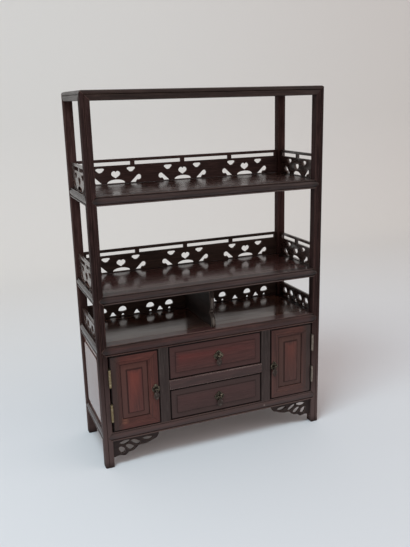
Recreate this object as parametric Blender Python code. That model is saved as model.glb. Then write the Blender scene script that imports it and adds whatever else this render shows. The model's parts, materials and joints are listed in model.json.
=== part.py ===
"""Freestanding hardwood shelf with pierced galleries, two doors and two drawers.

Metres, +Z up, front towards -Y, width along X. Legs stand on z = 0.
"""

import math

import bmesh
import bpy
from mathutils import Vector

# Overall body
WIDTH = 0.468
DEPTH = 0.170
HEIGHT = 0.700
LEG = 0.017
GAP = 0.0003

# Frames that ring the legs: top, two shelves, cabinet top, cabinet base
RAIL_WIDTH = 0.022
RAIL_HEIGHT = 0.0172
CABINET_RAIL_HEIGHT = 0.0206
BASE_RAIL_HEIGHT = 0.0182
UPPER_SHELF_TOP = 0.5225
MIDDLE_SHELF_TOP = 0.3428
CABINET_TOP = 0.2474
BASE_TOP = 0.0724
PANEL_THICKNESS = 0.011
TONGUE_LENGTH = 0.0035
TONGUE_THICKNESS = 0.0034
TONGUE_DROP = 0.0042
SHOULDER_DEPTH = 0.0045

# Mouldings on legs and frames
LEG_ROUND = 0.0035
LEG_EASE = 0.0012
FOOT_EASE = 0.0008
TOP_ROUND = 0.0055
GROOVE_AT = 0.0072
GROOVE_WIDTH = 0.0018
GROOVE_DEPTH = 0.0010
LIP_SETBACK = 0.0014
LIP_HEIGHT = 0.0016
COVE_HEIGHT = 0.0022
COVE_DEPTH = 0.0026
BEAD_RADIUS = 0.0014
QUIRK = 0.0010
BELLY = 0.0014

# Pierced galleries on the shelves
GALLERY_THICKNESS = 0.0042
GALLERY_SETBACK = 0.0064
GALLERY_STRIP = 0.0012
GALLERY_BOARD = 0.0360
GALLERY_SLOT = 0.0070
GALLERY_RAIL = 0.0056
POST_WIDTH = 0.0085
END_POST = 0.0060
BACK_SLOTS = 4
SIDE_SLOTS = 2
MOTIF_SPAN = 0.130
HEART_WIDTH = 0.0192
HEART_HEIGHT = 0.0150
HEART_AT = 0.0176
HEART_CLEFT = 2.8
TREFOIL_WIDTH = 0.0175
TREFOIL_HEIGHT = 0.0092
TREFOIL_LOBE = 0.17
TREFOIL_OUT = 0.0315
TREFOIL_AT = 0.0270
LENS_WIDTH = 0.0370
LENS_TOP = 0.0086
CURL_OUT = 0.0470
CURL_AT = 0.0110
CURL_RADIUS = 0.0054
CURL_TIP = 0.0290
CURL_HEEL = 0.0415

# Lower gallery on the cabinet and the divider in front of it
LOWER_BOARD = 0.0310
LOWER_SPAN = 0.1350
LOWER_UNIT_AT = 0.236
LOWER_DOME_AT = 0.097
LOWER_SHIFT = 0.0050
DOME_WIDTH = 0.0180
DOME_RISE = 0.0090
DOME_SAG = 0.0026
DOME_AT = 0.0125
TENT_WIDTH = 0.0170
TENT_TOP = 0.0104
DOT_WIDTH = 0.0062
DOT_TOP = 0.0058
DIVIDER_THICKNESS = 0.0085
DIVIDER_FRONT = 0.0115
DIVIDER_CUSP_AT = 0.0275
DIVIDER_CUSP_IN = 0.0105
DIVIDER_LOBE = 0.0050
DIVIDER_TOP_IN = 0.0120

# Cabinet carcase
BAY_HALF = 0.0992
MUNTIN_WIDTH = 0.0198
MUNTIN_DEPTH = 0.0170
DRAWER_RAIL_TOP = 0.1572
DRAWER_RAIL_HEIGHT = 0.0200
RAIL_RECESS = 0.0005
CASE_BOARD = 0.0080
CASE_SETBACK = 0.0042
SIDE_FIELD_RAISE = 0.0018
SIDE_FIELD_IN = 0.0130
SIDE_FIELD_ROUND = 0.0070
RUNNER_WIDTH = 0.0100
RUNNER_HEIGHT = 0.0095

# Doors
DOOR_THICKNESS = 0.0140
DOOR_RECESS = 0.0008
DOOR_REVEAL = 0.0012
STILE = 0.0200
STILE_FLAT = 0.0125
DOOR_BEAD = 0.0030
DOOR_COVE = 0.0040
DOOR_TONGUE = 0.0036
DOOR_GROOVE = 0.0046
DOOR_PANEL_BACK = 0.0015
FIELD_BEVEL = 0.0105
FIELD_STEP = 0.0022
FIELD_SINK = 0.0010
DOOR_TURN = 165.0

# Hinges
HINGE_HEIGHT = 0.0350
HINGE_UPPER = 0.1845
HINGE_LOWER = 0.1145
LEAF_THICKNESS = 0.0008
LEAF_GAP = 0.0005
LEAF_DEPTH = 0.0115
BARREL_RADIUS = 0.0025
BARREL_PROUD = 0.0025
PIN_RADIUS = 0.0009
PIN_PLAY = 0.0003

# Drawers
DRAWER_FRONT = 0.0120
DRAWER_RECESS = 0.0006
DRAWER_REVEAL = 0.0012
DRAWER_BORDER = 0.0118
DRAWER_FIELD = 0.0020
DRAWER_WALL = 0.0060
DRAWER_BOTTOM = 0.0040
DRAWER_HEADROOM = 0.0100
DRAWER_BACK_CLEAR = 0.0100
DRAWER_TRAVEL = 0.100

# Pulls
PLATE_THICKNESS = 0.0012
DOOR_PLATE_WIDTH = 0.0160
DRAWER_PLATE_WIDTH = 0.0205
PLATE_HEIGHT = 0.0215
PLATE_WAIST = 0.20
DOOR_PULL_IN = 0.0072
DOOR_PULL_Z = 0.1462
DRAWER_PULL_X = 0.0040
PLATE_HOLE = 0.0011
LUG_THICKNESS = 0.0012
LUG_RADIUS = 0.0017
PULL_PIN = 0.0007
PULL_PROUD = 0.0030
EYE_RADIUS = 0.0022
EYE_BORE = 0.0011
EYE_WIDTH = 0.0026
DROP_LENGTH = 0.0225
DROP_WIDTH = 0.0116
DROP_THICKNESS = 0.0022
DROP_NECK = 0.0040

# Scroll brackets under the base
BRACKET_LENGTH = 0.0920
BRACKET_DROP = 0.0360
BRACKET_THICKNESS = 0.0042
BRACKET_SETBACK = 0.0050

# Worked-out places
HALF_X = WIDTH / 2
HALF_Y = DEPTH / 2
IN_X = HALF_X - LEG
IN_Y = HALF_Y - LEG
SIDES = {"left": -1, "right": 1}
DOOR_SIDE_REVEAL = 2 * LEAF_THICKNESS + LEAF_GAP + 2 * GAP
CABINET_UNDER = CABINET_TOP - CABINET_RAIL_HEIGHT
DRAWER_RAIL_UNDER = DRAWER_RAIL_TOP - DRAWER_RAIL_HEIGHT
GALLERY_HEIGHT = GALLERY_BOARD + GALLERY_SLOT + GALLERY_RAIL
CASE_INNER_Y = HALF_Y - CASE_SETBACK - CASE_BOARD

FINISHES = {
    "frame_wood": ((0.030, 0.013, 0.011), 0.32, 0.0),
    "shelf_wood": ((0.036, 0.016, 0.013), 0.28, 0.0),
    "gallery_wood": ((0.026, 0.012, 0.010), 0.38, 0.0),
    "panel_wood": ((0.085, 0.022, 0.016), 0.34, 0.0),
    "drawer_wood": ((0.070, 0.020, 0.016), 0.34, 0.0),
    "inner_wood": ((0.110, 0.060, 0.036), 0.60, 0.0),
    "hinge_brass": ((0.330, 0.245, 0.110), 0.40, 1.0),
    "pull_brass": ((0.180, 0.140, 0.075), 0.45, 1.0),
}


# Scene helpers

def clear_scene():
    for obj in list(bpy.data.objects):
        bpy.data.objects.remove(obj, do_unlink=True)


def finish(name):
    """One Principled material per finish, made the first time it is asked for."""
    material = bpy.data.materials.get(name)
    if material is None:
        colour, roughness, metallic = FINISHES[name]
        material = bpy.data.materials.new(name)
        material.use_nodes = True
        shader = material.node_tree.nodes["Principled BSDF"]
        shader.inputs["Base Color"].default_value = (*colour, 1.0)
        shader.inputs["Roughness"].default_value = roughness
        shader.inputs["Metallic"].default_value = metallic
    return material


def pivot(name, place, parent=None):
    """An empty on a joint's axis; its pieces are modelled around it."""
    empty = bpy.data.objects.new(name, None)
    empty.empty_display_size = 0.02
    bpy.context.collection.objects.link(empty)
    empty["place"] = list(place)
    empty.parent = parent
    origin = Vector(parent["place"]) if parent else Vector()
    empty.location = Vector(place) - origin
    return empty


def node(name, solid, finish_name, carrier=None):
    """Turn a bmesh in world coordinates into a named object on its carrier."""
    bmesh.ops.remove_doubles(solid, verts=solid.verts, dist=1e-6)
    bmesh.ops.dissolve_degenerate(solid, dist=1e-6, edges=solid.edges)
    bmesh.ops.recalc_face_normals(solid, faces=solid.faces)
    if carrier:
        bmesh.ops.translate(solid, verts=solid.verts, vec=-Vector(carrier["place"]))
    mesh = bpy.data.meshes.new(name)
    solid.to_mesh(mesh)
    solid.free()
    mesh.materials.append(finish(finish_name))
    obj = bpy.data.objects.new(name, mesh)
    bpy.context.collection.objects.link(obj)
    obj.parent = carrier
    return obj


# Ways to lay a flat drawing (u, v) with depth w into the world

def level(z):
    return lambda u, v, w: Vector((u, v, z + w))


def facing_front(x, y, z):
    return lambda u, v, w: Vector((x + u, y + w, z + v))


def facing_back(x, y, z):
    return lambda u, v, w: Vector((x + u, y - w, z + v))


def facing_side(side, x, y, z):
    return lambda u, v, w: Vector((side * (x - w), y + u, z + v))


# Solid makers

def extruded(outline, lay, near, far, holes=()):
    """Extrude a drawing with holes from depth near to depth far."""
    solid = bmesh.new()
    edges = []
    for loop in (outline, *holes):
        verts = [solid.verts.new(lay(u, v, near)) for u, v in loop]
        edges += [solid.edges.new((verts[i - 1], verts[i])) for i in range(len(verts))]
    depth = lay(0, 0, far) - lay(0, 0, near)
    bmesh.ops.triangle_fill(solid, use_beauty=True, use_dissolve=False, edges=edges, normal=depth.normalized())
    if not holes:
        bmesh.ops.dissolve_limit(solid, angle_limit=0.01, verts=solid.verts, edges=solid.edges)
    grown = bmesh.ops.extrude_face_region(solid, geom=solid.faces[:])
    tops = [item for item in grown["geom"] if isinstance(item, bmesh.types.BMVert)]
    bmesh.ops.translate(solid, verts=tops, vec=depth)
    bmesh.ops.recalc_face_normals(solid, faces=solid.faces)
    return solid


def rectangle_loop(solid, lay, half_u, half_v, w):
    corners = ((-half_u, -half_v), (half_u, -half_v), (half_u, half_v), (-half_u, half_v))
    return [solid.verts.new(lay(u, v, w)) for u, v in corners]


def skin(solid, loops):
    for low, high in zip(loops, loops[1:]):
        for i in range(4):
            solid.faces.new((low[i - 1], low[i], high[i], high[i - 1]))


def mitred_ring(profile, lay, half_u, half_v):
    """Sweep a closed profile of (inset, depth) round a rectangle with mitred corners."""
    solid = bmesh.new()
    loops = [rectangle_loop(solid, lay, half_u - a, half_v - a, w) for a, w in profile]
    skin(solid, loops + loops[:1])
    bmesh.ops.recalc_face_normals(solid, faces=solid.faces)
    return solid


def stepped_board(profile, lay, half_u, half_v):
    """Loft rectangles of (inset, depth) into a board with tongues, bevels and fields."""
    solid = bmesh.new()
    loops = [rectangle_loop(solid, lay, half_u - a, half_v - a, w) for a, w in profile]
    skin(solid, loops)
    solid.faces.new(loops[0])
    solid.faces.new(loops[-1])
    bmesh.ops.recalc_face_normals(solid, faces=solid.faces)
    return solid


def block(x, y, z):
    """Box from three (low, high) pairs."""
    outline = [(x[0], y[0]), (x[1], y[0]), (x[1], y[1]), (x[0], y[1])]
    return extruded(outline, level(0), z[0], z[1])


def rod(centre, radius, axis, low, high, sides=16):
    """Cylinder along X or Z; centre gives the two other coordinates."""
    ring = [(centre[0] + radius * c, centre[1] + radius * s) for c, s in circle(sides)]
    if axis == "Z":
        return extruded(ring, level(0), low, high)
    return extruded(ring, lambda u, v, w: Vector((w, u, v)), low, high)


def joined(solids):
    """Put separate solids into one mesh, for use as one cutter."""
    whole = bmesh.new()
    for solid in solids:
        mesh = bpy.data.meshes.new("part")
        solid.to_mesh(mesh)
        solid.free()
        whole.from_mesh(mesh)
        bpy.data.meshes.remove(mesh)
    return whole


def combine(solid, tool, operation):
    """Boolean of two solids with the exact solver; both inputs are used up."""
    pair = []
    for shape in (solid, tool):
        mesh = bpy.data.meshes.new("shape")
        shape.to_mesh(mesh)
        shape.free()
        obj = bpy.data.objects.new("shape", mesh)
        bpy.context.collection.objects.link(obj)
        pair.append(obj)
    target, cutter = pair
    cutter.hide_render = True
    cutter.display_type = "WIRE"
    modifier = target.modifiers.new("combine", "BOOLEAN")
    modifier.operation = operation
    modifier.solver = "EXACT"
    modifier.object = cutter
    made = target.evaluated_get(bpy.context.evaluated_depsgraph_get())
    result = bmesh.new()
    result.from_mesh(made.to_mesh())
    made.to_mesh_clear()
    for obj in pair:
        mesh = obj.data
        bpy.data.objects.remove(obj, do_unlink=True)
        bpy.data.meshes.remove(mesh)
    return result


def united(solids):
    whole = solids[0]
    for solid in solids[1:]:
        whole = combine(whole, solid, "UNION")
    return whole


def sliced(solid, point, normal):
    """Cut away what lies on the normal's side of a plane and close the cut."""
    cut = bmesh.ops.bisect_plane(
        solid, geom=solid.verts[:] + solid.edges[:] + solid.faces[:], dist=1e-7,
        plane_co=point, plane_no=normal, clear_outer=True)
    rim = [item for item in cut["geom_cut"] if isinstance(item, bmesh.types.BMEdge)]
    if rim:
        bmesh.ops.edgeloop_fill(solid, edges=rim)
    return solid


# Curves used by the drawings

def circle(count, start=0.0):
    turns = [start + 2 * math.pi * i / count for i in range(count)]
    return [(math.cos(t), math.sin(t)) for t in turns]


def arc(centre, radius, first, last, steps):
    """Points on an arc between two angles in degrees, both ends included."""
    angles = [math.radians(first + (last - first) * i / steps) for i in range(steps + 1)]
    return [(centre[0] + radius * math.cos(t), centre[1] + radius * math.sin(t)) for t in angles]


def spline(points, steps, closed=True):
    """Catmull-Rom curve through the given points."""
    count = len(points)
    spans = count if closed else count - 1
    drawn = []
    for i in range(spans):
        p0, p1, p2, p3 = (points[k % count] if closed else points[min(max(k, 0), count - 1)]
                          for k in (i - 1, i, i + 1, i + 2))
        for j in range(steps):
            t = j / steps
            drawn.append(tuple(
                0.5 * (2 * b + (c - a) * t + (2 * a - 5 * b + 4 * c - d) * t * t
                       + (3 * b - a - 3 * c + d) * t ** 3)
                for a, b, c, d in zip(p0, p1, p2, p3)))
    return drawn if closed else drawn + [points[-1]]


def shifted(points, u, v=0.0, scale=1.0):
    return [(u + scale * a, v + b) for a, b in points]


def mirrored(points):
    return [(-a, b) for a, b in reversed(points)]


# Legs

def leg_plan():
    """Leg section measured inwards from the outer corner."""
    half = GROOVE_WIDTH / 2
    face = [(GROOVE_AT - half, 0), (GROOVE_AT, GROOVE_DEPTH), (GROOVE_AT + half, 0),
            (LEG - LEG_EASE, 0), (LEG, LEG_EASE)]
    other = [(b, a) for a, b in reversed(face)]
    corner = arc((LEG_ROUND, LEG_ROUND), LEG_ROUND, 180, 270, 4)
    return face + [(LEG, LEG)] + other + corner


def corner_lay(sx, sy):
    """Lay (inset from side, inset from front or back, height) at one corner of the plan."""
    return lambda a, b, z: Vector((sx * (HALF_X - a), sy * (HALF_Y - b), z))


def top_arc():
    """Rounded top edge of the top frame as (inset, drop) from face to top."""
    return [(a, drop) for a, drop in arc((TOP_ROUND, TOP_ROUND), TOP_ROUND, 180, 270, 4)]


def mitre_leg_top(solid, sx, sy, clearance):
    """Cut the leg's head to the three-way mitre it shares with the top frame."""
    slack = clearance * math.sqrt(2)
    for normal in ((-sx, 0, 1), (0, -sy, 1)):
        sliced(solid, corner_lay(sx, sy)(0, 0, HEIGHT + slack), Vector(normal).normalized())
    return solid


def round_leg_top(solid, sx, sy):
    """Carry the top frame's rounded edge over the leg's share of the corner."""
    lay = corner_lay(sx, sy)
    edge = top_arc()
    for (a0, c0), (a1, c1) in zip(edge[:2], edge[1:3]):
        run, rise = a1 - a0, c0 - c1
        sliced(solid, lay(a0, 0, HEIGHT - c0), Vector((sx * rise, 0, run)).normalized())
        sliced(solid, lay(0, a0, HEIGHT - c0), Vector((0, sy * rise, run)).normalized())
    return solid


def shoulder(sx, sy, top, height, turned, clearance):
    """Pointed rail shoulder let into the face of a leg."""
    reach = clearance * math.sqrt(2)
    middle = height / 2
    over = 0.001
    outline = [(LEG - middle - reach, middle), (LEG + over, -over - reach), (LEG + over, height + over + reach)]
    lay = corner_lay(sx, sy)
    if turned:
        return extruded(outline, lambda a, c, b: lay(b, a, top - c), -over, SHOULDER_DEPTH + clearance)
    return extruded(outline, lambda a, c, b: lay(a, b, top - c), -over, SHOULDER_DEPTH + clearance)


RINGS = {
    "upper_shelf": (UPPER_SHELF_TOP, RAIL_HEIGHT),
    "middle_shelf": (MIDDLE_SHELF_TOP, RAIL_HEIGHT),
    "cabinet_top": (CABINET_TOP, CABINET_RAIL_HEIGHT),
    "base": (BASE_TOP, BASE_RAIL_HEIGHT),
}


def build_legs():
    for side, sx in SIDES.items():
        for depth, sy in (("front", -1), ("back", 1)):
            solid = extruded(leg_plan(), corner_lay(sx, sy), 0, HEIGHT)
            foot = [e for e in solid.edges if max(v.co.z for v in e.verts) < 1e-6]
            bmesh.ops.bevel(solid, geom=foot, offset=FOOT_EASE, segments=1, affect="EDGES")
            mitre_leg_top(solid, sx, sy, 0)
            round_leg_top(solid, sx, sy)
            pockets = [shoulder(sx, sy, top, height, turned, GAP)
                       for top, height in RINGS.values() for turned in (False, True)]
            node(f"leg_{depth}_{side}", combine(solid, joined(pockets), "DIFFERENCE"), "frame_wood")


# Frames and their panels

def panel_groove(height):
    """Inner edge of a frame, from its underside up to its top, with the panel's groove."""
    low, high = TONGUE_DROP + TONGUE_THICKNESS + GAP, TONGUE_DROP - GAP
    deep = RAIL_WIDTH - TONGUE_LENGTH - GAP
    return [(RAIL_WIDTH, height), (RAIL_WIDTH, low), (deep, low), (deep, high), (RAIL_WIDTH, high), (RAIL_WIDTH, 0)]


def shelf_edge(height):
    """Moulded shelf edge from top to underside: lip, cove, broad belly, quirk, thin bead."""
    start, end = LIP_HEIGHT + COVE_HEIGHT, height - 2 * BEAD_RADIUS - QUIRK
    middle, half = (start + end) / 2, (end - start) / 2
    lip = [(LIP_SETBACK, 0), (LIP_SETBACK, LIP_HEIGHT), (COVE_DEPTH, LIP_HEIGHT + COVE_HEIGHT / 2)]
    belly = [(BELLY * t * t, middle + half * t) for t in (-1, -0.6, -0.2, 0.2, 0.6, 1)]
    quirk = [(BELLY + QUIRK, end + QUIRK / 2)]
    bead = arc((BEAD_RADIUS, height - BEAD_RADIUS), BEAD_RADIUS, 270, 90, 4)
    return lip + belly + quirk + bead


def top_edge(height):
    """Outer edge of the top frame: rounded, with one groove that meets the leg's groove."""
    half = GROOVE_WIDTH / 2
    groove = [(0, GROOVE_AT - half), (GROOVE_DEPTH, GROOVE_AT), (0, GROOVE_AT + half)]
    return list(reversed(top_arc())) + groove + [(0, height - LEG_EASE), (LEG_EASE, height)]


def frame_ring(edge, top, height):
    profile = [(a, -c) for a, c in edge + panel_groove(height)]
    return mitred_ring(profile, level(top), HALF_X, HALF_Y)


def leg_socket(sx, sy, low, high):
    """Room for a leg with its clearance, running past the outer faces."""
    over = 0.001
    reach = LEG + GAP
    outline = [(-over, -over), (reach, -over), (reach, reach), (-over, reach)]
    return extruded(outline, corner_lay(sx, sy), low - over, high + over)


def build_panel(name, top):
    edge = RAIL_WIDTH + GAP
    tip = RAIL_WIDTH - TONGUE_LENGTH
    low, high = TONGUE_DROP + TONGUE_THICKNESS, TONGUE_DROP
    profile = [(edge, -PANEL_THICKNESS), (edge, -low), (tip, -low), (tip, -high), (edge, -high), (edge, 0)]
    node(name, stepped_board(profile, level(top), HALF_X, HALF_Y), "shelf_wood")


def build_frames():
    corners = [(sx, sy) for sx in (-1, 1) for sy in (-1, 1)]
    ring = frame_ring(top_edge(RAIL_HEIGHT), HEIGHT, RAIL_HEIGHT)
    heads = [mitre_leg_top(leg_socket(sx, sy, HEIGHT - RAIL_HEIGHT, HEIGHT), sx, sy, GAP) for sx, sy in corners]
    node("top_frame", combine(ring, joined(heads), "DIFFERENCE"), "frame_wood")
    build_panel("top_panel", HEIGHT)
    for name, (top, height) in RINGS.items():
        ring = frame_ring(shelf_edge(height), top, height)
        sockets = joined([leg_socket(sx, sy, top - height, top) for sx, sy in corners])
        tabs = joined([shoulder(sx, sy, top, height, turned, 0) for sx, sy in corners for turned in (False, True)])
        solid = combine(ring, combine(sockets, tabs, "DIFFERENCE"), "DIFFERENCE")
        node(f"{name}_frame", solid, "frame_wood")
        build_panel("cabinet_floor" if name == "base" else f"{name}_panel", top)


# Pierced galleries

def heart():
    turns = [2 * math.pi * i / 20 for i in range(20)]
    drawn = [(16 * math.sin(t) ** 3,
              13 * math.cos(t) - HEART_CLEFT * math.cos(2 * t) - 2 * math.cos(3 * t) - math.cos(4 * t))
             for t in turns]
    low, high = min(v for _, v in drawn), max(v for _, v in drawn)
    return [(u / 32 * HEART_WIDTH, ((v - low) / (high - low) - 0.5) * HEART_HEIGHT) for u, v in drawn]


def trefoil():
    """Three soft lobes, two above and one below."""
    turns = [2 * math.pi * i / 15 for i in range(15)]
    drawn = [((1 + TREFOIL_LOBE * math.cos(3 * t)) * math.cos(t + math.pi / 6),
              (1 + TREFOIL_LOBE * math.cos(3 * t)) * math.sin(t + math.pi / 6)) for t in turns]
    wide = max(u for u, _ in drawn) * 2
    low, high = min(v for _, v in drawn), max(v for _, v in drawn)
    return [(u / wide * TREFOIL_WIDTH, ((v - low) / (high - low) - 0.5) * TREFOIL_HEIGHT) for u, v in drawn]


def lens():
    """Low arch with pointed ends on the board's bottom strip."""
    turns = [math.pi * i / 10 for i in range(11)]
    rise = LENS_TOP - GALLERY_STRIP
    return [(-LENS_WIDTH / 2 * math.cos(t), GALLERY_STRIP + rise * math.sin(t)) for t in turns]


def curl():
    """Comma: straight flank from its tip on the bottom strip up to a round head."""
    head = arc((CURL_OUT, CURL_AT), CURL_RADIUS, 140, -120, 8)
    return [(CURL_TIP, GALLERY_STRIP)] + head + [(CURL_HEEL, CURL_AT - 1.5 * CURL_RADIUS), (CURL_HEEL, GALLERY_STRIP)]


def dome():
    """Arched opening with softly rounded lower corners."""
    crown = [(a * DOME_WIDTH / 2, DOME_AT + b * DOME_RISE) for a, b in arc((0, 0), 1, 0, 180, 8)]
    floor = [(a * DOME_WIDTH / 2, DOME_AT + b * DOME_SAG) for a, b in arc((0, 0), 1, 180, 360, 6)]
    return crown + floor[1:-1]


def tent():
    """Small ogee tent on the bottom strip."""
    half, rise = TENT_WIDTH / 2, TENT_TOP - GALLERY_STRIP
    left = [(-half, GALLERY_STRIP), (-half * 0.58, GALLERY_STRIP + rise * 0.32),
            (-half * 0.30, GALLERY_STRIP + rise * 0.82)]
    return left + [(0, TENT_TOP)] + mirrored(left)


def dot():
    rise = DOT_TOP - GALLERY_STRIP
    return [(a * DOT_WIDTH / 2, GALLERY_STRIP + b * rise) for a, b in arc((0, 0), 1, 0, 180, 6)]


def board_outline(half, height):
    return [(-half, 0), (half, 0), (half, height), (-half, height)]


def shelf_gallery(half, slots):
    """Heart-and-cloud gallery: pierced board, posts and a rail above a slot."""
    clear = 2 * (half - END_POST)
    count = max(1, int(clear / MOTIF_SPAN))
    pitch = clear / count
    scale = min(1.0, pitch / MOTIF_SPAN)
    holes = []
    for i in range(count):
        u = (i - (count - 1) / 2) * pitch
        holes += [shifted(drawing, u, 0, scale) for drawing in (mirrored(curl()), lens(), curl())]
        holes.append(shifted(heart(), u, HEART_AT, scale))
        holes += [shifted(trefoil(), u + way * scale * TREFOIL_OUT, TREFOIL_AT, scale) for way in (-1, 1)]
    span = clear / slots
    low, high = GALLERY_BOARD, GALLERY_BOARD + GALLERY_SLOT
    for i in range(slots):
        left = -half + END_POST + i * span + (POST_WIDTH / 2 if i else 0)
        right = -half + END_POST + (i + 1) * span - (POST_WIDTH / 2 if i < slots - 1 else 0)
        holes.append([(left, low), (right, low), (right, high), (left, high)])
    return board_outline(half, GALLERY_HEIGHT), holes


def lower_gallery(half, fields):
    """Dome-and-tent gallery; each field repeats the same group of openings."""
    holes = []
    length = 2 * half / fields
    scale = min(1.0, length / LOWER_SPAN)
    for i in range(fields):
        middle = (i - (fields - 1) / 2) * (length + 2 * LOWER_SHIFT)
        holes.append(shifted(tent(), middle, 0, scale))
        for way in (-1, 1):
            unit = middle + way * LOWER_UNIT_AT * length
            holes.append(shifted(tent(), unit, 0, scale))
            for step in (-1, 1):
                u = unit + step * LOWER_DOME_AT * length
                holes += [shifted(drawing, u, 0, scale) for drawing in (dome(), dot())]
    return board_outline(half, LOWER_BOARD), holes


def build_galleries():
    half_back, half_side = IN_X - GAP, IN_Y - GAP
    near, far = GALLERY_SETBACK, GALLERY_SETBACK + GALLERY_THICKNESS
    levels = {"upper": UPPER_SHELF_TOP, "middle": MIDDLE_SHELF_TOP, "lower": CABINET_TOP}
    for name, top in levels.items():
        low = name == "lower"
        drawing, holes = lower_gallery(half_back, 2) if low else shelf_gallery(half_back, BACK_SLOTS)
        lay = facing_back(0, HALF_Y, top + GAP)
        node(f"gallery_{name}_back", extruded(drawing, lay, near, far, holes), "gallery_wood")
        drawing, holes = lower_gallery(half_side, 1) if low else shelf_gallery(half_side, SIDE_SLOTS)
        for side, sx in SIDES.items():
            lay = facing_side(sx, HALF_X, 0, top + GAP)
            node(f"gallery_{name}_{side}", extruded(drawing, lay, near, far, holes), "gallery_wood")


def build_divider():
    """Upright board whose front edge swells into two lobes with a cusp between them."""
    foot, head = CABINET_TOP + GAP, MIDDLE_SHELF_TOP - RAIL_HEIGHT - GAP
    front = -HALF_Y + DIVIDER_FRONT
    back = HALF_Y - GALLERY_SETBACK - GALLERY_THICKNESS - GAP
    cusp = (front + DIVIDER_CUSP_IN, foot + DIVIDER_CUSP_AT)
    crown = (front + DIVIDER_TOP_IN, head)
    lower = spline([(front, foot), (front, foot + DIVIDER_CUSP_AT * 0.45),
                    (front + DIVIDER_CUSP_IN * 0.45, foot + DIVIDER_CUSP_AT * 0.85), cusp], 3, closed=False)
    rise = head - cusp[1]
    upper = spline([cusp, (cusp[0] - DIVIDER_LOBE, cusp[1] + rise * 0.22),
                    (cusp[0] - DIVIDER_LOBE, cusp[1] + rise * 0.55), crown], 3, closed=False)
    outline = lower + upper[1:] + [(back, head), (back, foot)]
    lay = lambda u, v, w: Vector((w, u, v))
    half = DIVIDER_THICKNESS / 2
    node("lower_divider", extruded(outline, lay, -half, half), "gallery_wood")


# Cabinet carcase

def rounded_rectangle(half_u, half_v, radius, steps=3):
    drawn = []
    for su, sv, start in ((1, 1, 0), (-1, 1, 90), (-1, -1, 180), (1, -1, 270)):
        centre = (su * (half_u - radius), sv * (half_v - radius))
        drawn += arc(centre, radius, start, start + 90, steps)
    return drawn


def build_side_panels():
    low, high = BASE_TOP + GAP, CABINET_UNDER - GAP
    half_u, half_v = IN_Y - GAP, (high - low) / 2
    for side, sx in SIDES.items():
        lay = facing_side(sx, HALF_X - CASE_SETBACK, 0, (low + high) / 2)
        board = stepped_board([(0, 0), (0, CASE_BOARD)], lay, half_u, half_v)
        outline = rounded_rectangle(half_u - SIDE_FIELD_IN, half_v - SIDE_FIELD_IN, SIDE_FIELD_ROUND)
        field = extruded(outline, lay, -SIDE_FIELD_RAISE, CASE_BOARD / 2)
        node(f"side_panel_{side}", combine(board, field, "UNION"), "panel_wood")


def upright_plan():
    """Front rails of the carcase have softly rounded front edges."""
    ease = LEG_EASE
    return lambda half, depth: [(-half, depth), (-half, ease), (-half + ease, 0), (half - ease, 0),
                                (half, ease), (half, depth)]


def build_carcase():
    low, high = BASE_TOP + GAP, CABINET_UNDER - GAP
    back_lay = facing_back(0, HALF_Y - CASE_SETBACK, (low + high) / 2)
    board = stepped_board([(0, 0), (0, CASE_BOARD)], back_lay, IN_X - GAP, (high - low) / 2)
    node("back_panel", board, "inner_wood")
    plan = upright_plan()
    front = -HALF_Y + RAIL_RECESS
    inner = BAY_HALF + CASE_BOARD
    behind = front + MUNTIN_DEPTH + GAP
    runner_low = DRAWER_RAIL_TOP - RUNNER_HEIGHT
    for side, sx in SIDES.items():
        centre = sx * (BAY_HALF + MUNTIN_WIDTH / 2)
        outline = plan(MUNTIN_WIDTH / 2, MUNTIN_DEPTH)
        muntin = extruded(outline, lambda u, v, w, c=centre: Vector((c + u, front + v, w)), low, high)
        node(f"muntin_{side}", muntin, "frame_wood")
        section = [(BAY_HALF, low), (inner, low), (inner, high), (BAY_HALF, high), (BAY_HALF, DRAWER_RAIL_TOP),
                   (BAY_HALF - RUNNER_WIDTH, DRAWER_RAIL_TOP), (BAY_HALF - RUNNER_WIDTH, runner_low),
                   (BAY_HALF, runner_low)]
        partition = extruded(section, lambda u, v, w, s=sx: Vector((s * u, w, v)), behind, CASE_INNER_Y - GAP)
        node(f"partition_{side}", partition, "inner_wood")
    outline = plan(DRAWER_RAIL_HEIGHT / 2, MUNTIN_DEPTH)
    middle = DRAWER_RAIL_TOP - DRAWER_RAIL_HEIGHT / 2
    reach = BAY_HALF - GAP
    rail = extruded(outline, lambda u, v, w: Vector((w, front + v, middle + u)), -reach, reach)
    node("drawer_rail", rail, "frame_wood")


# Doors

def door_box(sx):
    """Door edges: (inner X, outer X, bottom, top) for one side."""
    inner = BAY_HALF + MUNTIN_WIDTH + DOOR_REVEAL
    outer = IN_X - DOOR_SIDE_REVEAL
    return inner, outer, BASE_TOP + DOOR_REVEAL, CABINET_UNDER - DOOR_REVEAL


def hinge_axis(sx):
    return sx * (IN_X - DOOR_SIDE_REVEAL / 2), -HALF_Y - BARREL_PROUD


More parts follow.
